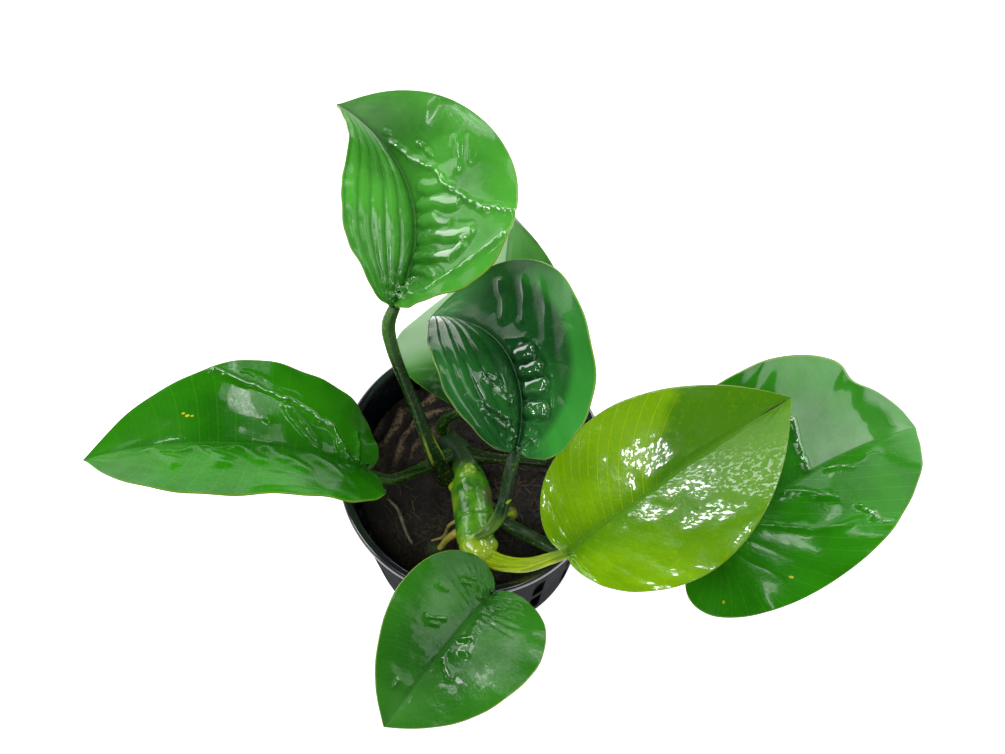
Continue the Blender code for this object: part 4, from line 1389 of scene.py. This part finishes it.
def wool_mesh(steps=280, top_rings=130, side_rings=50):
    """A plug turned from the profile, with its top pushed up and down."""
    profile = np.array(WOOL_PROFILE)
    run = np.concatenate([[0], np.cumsum(np.linalg.norm(np.diff(profile, axis=0), axis=1))])
    shoulder = run[7]
    where = np.concatenate([np.linspace(0.1, shoulder, top_rings),
                            np.linspace(shoulder, run[-1], side_rings + 1)[1:]])
    reach, height = (np.interp(where, run, column)[:, None] for column in profile.T)
    angle = np.linspace(0, 2 * math.pi, steps, endpoint=False)[None, :]
    uneven = sum(rise * np.sin(count * angle + start) for count, rise, start in WOOL_WAVES)
    wide = reach * (1 + 0.5 * uneven / WOOL_RADIUS)
    points = np.stack([wide * np.cos(angle), wide * np.sin(angle), height + 0 * angle], -1).reshape(-1, 3)
    angle, reach = (np.broadcast_to(a, wide.shape).ravel() for a in (angle, reach))
    outward = np.stack([np.cos(angle), np.sin(angle)], 1)
    on_top = soft_step(38.5, 42.5, points[:, 2])
    rough = 0.7 * lumps(points, 5.0, 31, 4) + 0.35 * lumps(points * (1, 1, 0.4), 1.3, 37, 3)
    around = np.abs((angle - WRINKLE_SIDE + math.pi) % (2 * math.pi) - math.pi)
    ridges = np.sin(1.5 * reach + 2.5 * lumps(points, 6.0, 41))
    ridges = ridges * bell(around, 0, 0.75) * soft_step(12, 18, reach)
    points[:, 2] += on_top * np.minimum(rough + 0.9 * ridges - 0.2, 1.1)
    points[:, :2] += ((1 - on_top) * np.minimum(0.3 * rough - 0.1, 0.1))[:, None] * outward
    grid = np.arange(len(points)).reshape(-1, steps)
    near = np.roll(grid, -1, axis=1)
    cells = np.stack([grid[:-1], grid[1:], near[1:], near[:-1]], -1).reshape(-1, 4)
    tan = np.clip(0.5 + 0.5 * ridges, 0, 1) * bell(around, 0, 0.9) * on_top
    maps = np.stack([tan, on_top], 1)
    return points, cells.tolist() + [grid[0].tolist(), grid[-1].tolist()[::-1]], maps


def fibre_mesh(count=240, seed=3):
    """Thin bowed fibres that lie over the wool at random."""
    rng = np.random.default_rng(seed)
    shapes = []
    for _ in range(count):
        angle, reach = rng.uniform(0, 2 * math.pi), 22.0 * math.sqrt(rng.uniform(0, 1))
        height = np.interp(reach, *np.array(WOOL_PROFILE[:6]).T) + 0.3
        middle = np.array((reach * math.cos(angle), reach * math.sin(angle), height))
        heading = rng.uniform(0, 2 * math.pi)
        length = rng.uniform(1.5, 5.0)
        step = np.array((math.cos(heading), math.sin(heading), 0.0)) * length / 3
        bow = np.array((-step[1], step[0], 0.0)) * rng.uniform(-0.8, 0.8)
        line = [middle - 1.5 * step, middle - 0.5 * step + bow,
                middle + 0.5 * step + bow, middle + 1.5 * step]
        line = [p + (0, 0, rng.uniform(-0.35, 0.25)) for p in line]
        if max(np.hypot(p[0], p[1]) for p in line) < FIBRES_WITHIN:
            shapes.append(sweep(line, (0.05, 0.07, 0.07, 0.04), 9, 4))
    return joined(shapes)


wool_points, wool_faces, wool_maps = wool_mesh()
print("the wool has", len(wool_points), "points")

# %% [markdown]
# ## Finish of the wool
#
# Soaked wool is nearly black, and the crests of its wrinkles are tan. The
# mesh's map says where a wrinkle is high, so the tan follows the shape. Three
# spots of yellow and green are scraps of leaf that lie on the wool.

# %% Wool finish
# Place, radius, colour and strength of each scrap.
SCRAPS = (
    ((8.4, -9.0, 44.5), 2.2, (0.50, 0.62, 0.02), 1.0),
    ((-8.9, -16.8, 44.5), 2.6, (0.05, 0.15, 0.02), 0.7),
    ((-6.6, 13.2, 44.5), 2.2, (0.26, 0.28, 0.03), 1.0),
)


def wool_paint(start):
    place = object_place(start)
    ridge, _ = surface_place(start)
    strands = noise(start, place, 1300, 5, 0.7)
    patches = noise(start, place, 170, 3).smooth(0.45, 0.7)
    base = strands.smooth(0.4, 0.7).pick((0.005, 0.004, 0.003), (0.050, 0.033, 0.018))
    base = (patches * strands.smooth(0.45, 0.6) * 0.6).pick(base, (0.10, 0.066, 0.036))
    soaked = noise(start, place, 75, 3).smooth(0.45, 0.65)
    base = (soaked * 0.75).pick(base, (0.004, 0.004, 0.003))
    base = (ridge.smooth(0.3, 0.8) * strands.smooth(0.38, 0.58)).pick(base, (0.24, 0.165, 0.09))
    for point, radius, colour, strength in SCRAPS:
        base = (around_point(place, point, radius) * strength).pick(base, colour)
    return {"Base Color": base, "Roughness": 0.5 + 0.45 * strands,
            "Normal": bump(start, strands, 0.0008, 1.0)}


def fibre_paint(start):
    cloud = noise(start, object_place(start), 60, 2).smooth(0.4, 0.6)
    return {"Base Color": cloud.pick((0.025, 0.017, 0.010), (0.12, 0.085, 0.05))}


wool_skin = finish("wool_finish", wool_paint, {"Specular IOR Level": 0.5})
wool = add_piece("wool_body", wool_points, wool_faces, [wool_skin], wool_maps)
place_piece(wool, "wool_plug")
fibres = add_piece("wool_fibres", *fibre_mesh(), [finish("fibre_finish", fibre_paint, {"Roughness": 0.6})])
place_piece(fibres, None)

# %% [markdown]
# ## The pot
#
# Net pots are moulded in black plastic: a thin tapered wall with rows of slots,
# a rolled lip and a slotted floor. The cup is turned from a rounded profile.
# The slots are cut with one Boolean, as a mould's pins would leave them, and a
# narrow bevel takes the sharpness off every edge.

# %% Pot mesh
POT_HEIGHT, LIP_RADIUS, TOP_RADIUS, BASE_RADIUS = 52.0, 30.0, 28.9, 25.0
WALL, FLOOR = 1.2, 1.6
SLOTS_AROUND, SLOT_WIDTH, SLOT_ROWS = 16, 3.0, ((6.0, 20.0), (24.0, 36.0))
FLOOR_SLOTS, FLOOR_SLOT = 8, (9.0, 19.0, 2.6)
EDGE_SOFTNESS = 0.15


def arc(centre, radius, start, stop, steps=6):
    """Points of a rounded corner in the turned profile, angles in degrees."""
    for k in range(steps + 1):
        angle = math.radians(start + (stop - start) * k / steps)
        yield (centre[0] + radius * math.cos(angle), centre[1] + radius * math.sin(angle))


def pot_profile():
    """Up the outer side, over the lip and down the inner side."""
    yield (0.0, 0.0)
    yield from arc((BASE_RADIUS - 0.8, 0.8), 0.8, -90, -5)
    yield (TOP_RADIUS - 0.15, POT_HEIGHT - 4.5)
    yield (TOP_RADIUS, POT_HEIGHT - 2.8)
    yield from arc((LIP_RADIUS - 0.55, POT_HEIGHT - 1.7), 0.55, -70, 0)
    yield from arc((LIP_RADIUS - 0.75, POT_HEIGHT - 0.75), 0.75, 0, 90)
    yield from arc((LIP_RADIUS - 1.5, POT_HEIGHT - 0.6), 0.6, 90, 180)
    yield (TOP_RADIUS - WALL, POT_HEIGHT - 2.2)
    yield (BASE_RADIUS - WALL + 0.4, FLOOR + 0.9)
    yield from arc((BASE_RADIUS - WALL - 0.6, FLOOR + 0.8), 0.8, -10, -90)
    yield (0.0, FLOOR)


def turned(profile, steps):
    """A closed shape turned from a profile that starts and ends on the axis."""
    rows = profile[1:-1]
    angle = np.linspace(0, 2 * math.pi, steps, endpoint=False)
    points = [np.array([(0.0, 0.0, profile[0][1])])]
    points += [np.stack([r * np.cos(angle), r * np.sin(angle), np.full(steps, h)], 1) for r, h in rows]
    points.append(np.array([(0.0, 0.0, profile[-1][1])]))
    grid = 1 + np.arange(len(rows) * steps).reshape(len(rows), steps)
    near = np.roll(grid, -1, axis=1)
    cells = np.stack([grid[:-1], near[:-1], near[1:], grid[1:]], -1).reshape(-1, 4).tolist()
    last = 1 + len(rows) * steps
    cells += [(0, n, g) for g, n in zip(grid[0].tolist(), near[0].tolist())]
    cells += [(g, n, last) for g, n in zip(grid[-1].tolist(), near[-1].tolist())]
    return np.concatenate(points), cells


def block(radial, across, low, high, angle):
    """A box that points outwards at an angle round the pot."""
    (near, far), half = radial, across / 2
    out = np.array((math.cos(angle), math.sin(angle), 0.0))
    side = np.array((-math.sin(angle), math.cos(angle), 0.0))
    corners = [out * r + side * s for r, s in ((near, -half), (far, -half), (far, half), (near, half))]
    points = [c + (0, 0, low) for c in corners] + [c + (0, 0, high) for c in corners]
    walls = [(k, (k + 1) % 4, (k + 1) % 4 + 4, k + 4) for k in range(4)]
    return np.array(points), [(3, 2, 1, 0), (4, 5, 6, 7)] + walls


pot = add_piece("pot_cup", *turned(list(pot_profile()), 192), [])
slots = [block((20.0, 34.0), SLOT_WIDTH, low, high, 2 * math.pi * (k + 0.5) / SLOTS_AROUND)
         for low, high in SLOT_ROWS for k in range(SLOTS_AROUND)]
slots += [block(FLOOR_SLOT[:2], FLOOR_SLOT[2], -1.0, FLOOR + 1.0, 2 * math.pi * (k + 0.25) / FLOOR_SLOTS)
          for k in range(FLOOR_SLOTS)]
cutter = add_piece("slot_tool", *joined(slots), [])
cut = pot.modifiers.new("slots", "BOOLEAN")
cut.operation, cut.solver, cut.object = "DIFFERENCE", "EXACT", cutter
settled(pot)
bpy.data.objects.remove(cutter)
soften = pot.modifiers.new("soften", "BEVEL")
soften.width, soften.segments, soften.angle_limit = EDGE_SOFTNESS * MM, 2, math.radians(50)
settled(pot)
pot.data.polygons.foreach_set("use_smooth", [True] * len(pot.data.polygons))
print("the pot has", len(slots), "slots")

# %% [markdown]
# ## Finish of the pot
#
# The plastic is black and satin, with soft scuffs, and a trace of lime where
# water dried under the lip. Only the lip is polished by handling, so the coat
# begins at its height.

# %% Pot finish
def pot_paint(start):
    place = object_place(start)
    height = start.node("SeparateXYZ", {}, {0: place}).other(2)
    cloud = noise(start, place, 120, 4, 0.6)
    base = cloud.smooth(0.35, 0.75).pick((0.003, 0.004, 0.006), (0.010, 0.013, 0.017))
    lime = noise(start, place, 340, 5, 0.7).smooth(0.60, 0.78) * height.smooth(0.040, 0.0522)
    base = (lime * 0.35).pick(base, (0.16, 0.17, 0.18))
    scuff = noise(start, place, 2100, 3, 0.7)
    return {"Base Color": base, "Roughness": 0.30 + 0.22 * cloud + 0.3 * lime,
            "Coat Weight": 0.06 + 0.7 * height.smooth(0.0495, 0.0505),
            "Normal": bump(start, scuff, 0.00005, 0.5)}


pot.data.materials.clear()
pot.data.materials.append(finish("pot_finish", pot_paint, {
    "Specular IOR Level": 0.0, "Coat Roughness": 0.12, "Coat IOR": 2.0}))
place_piece(pot, "pot")

# %% [markdown]
# ## Floor
#
# The floor is only a stage for the picture: white, with a glow of painted
# light that is a little brighter away from the plant, so that it fills the
# ground.

# %% Floor and finish
FLOOR_MIDDLE, FLOOR_REACH = (0.01, 0.04, 0.0), 3000


# Painted light: the floor glows, less near the plant than away from it.
def floor_glow_paint(start):
    place = object_place(start)
    away = place.node("VectorMath", {"operation": "DISTANCE"}, {0: place, 1: FLOOR_MIDDLE}, out=1)
    return {"Emission Color": away.smooth(0.24, 0.34).pick((0.3, 0.3, 0.3), (0.45, 0.45, 0.45))}


corners = [(x * FLOOR_REACH, y * FLOOR_REACH, 0) for x, y in ((-1, -1), (1, -1), (1, 1), (-1, 1))]
# The floor's glow is painted light.
paper = finish("floor_glowing_paper", floor_glow_paint, {
    "Base Color": (0.88, 0.88, 0.88, 1.0), "Roughness": 0.8, "Emission Strength": 2.5})
floor = add_piece("floor", corners, [(0, 1, 2, 3)], [paper])
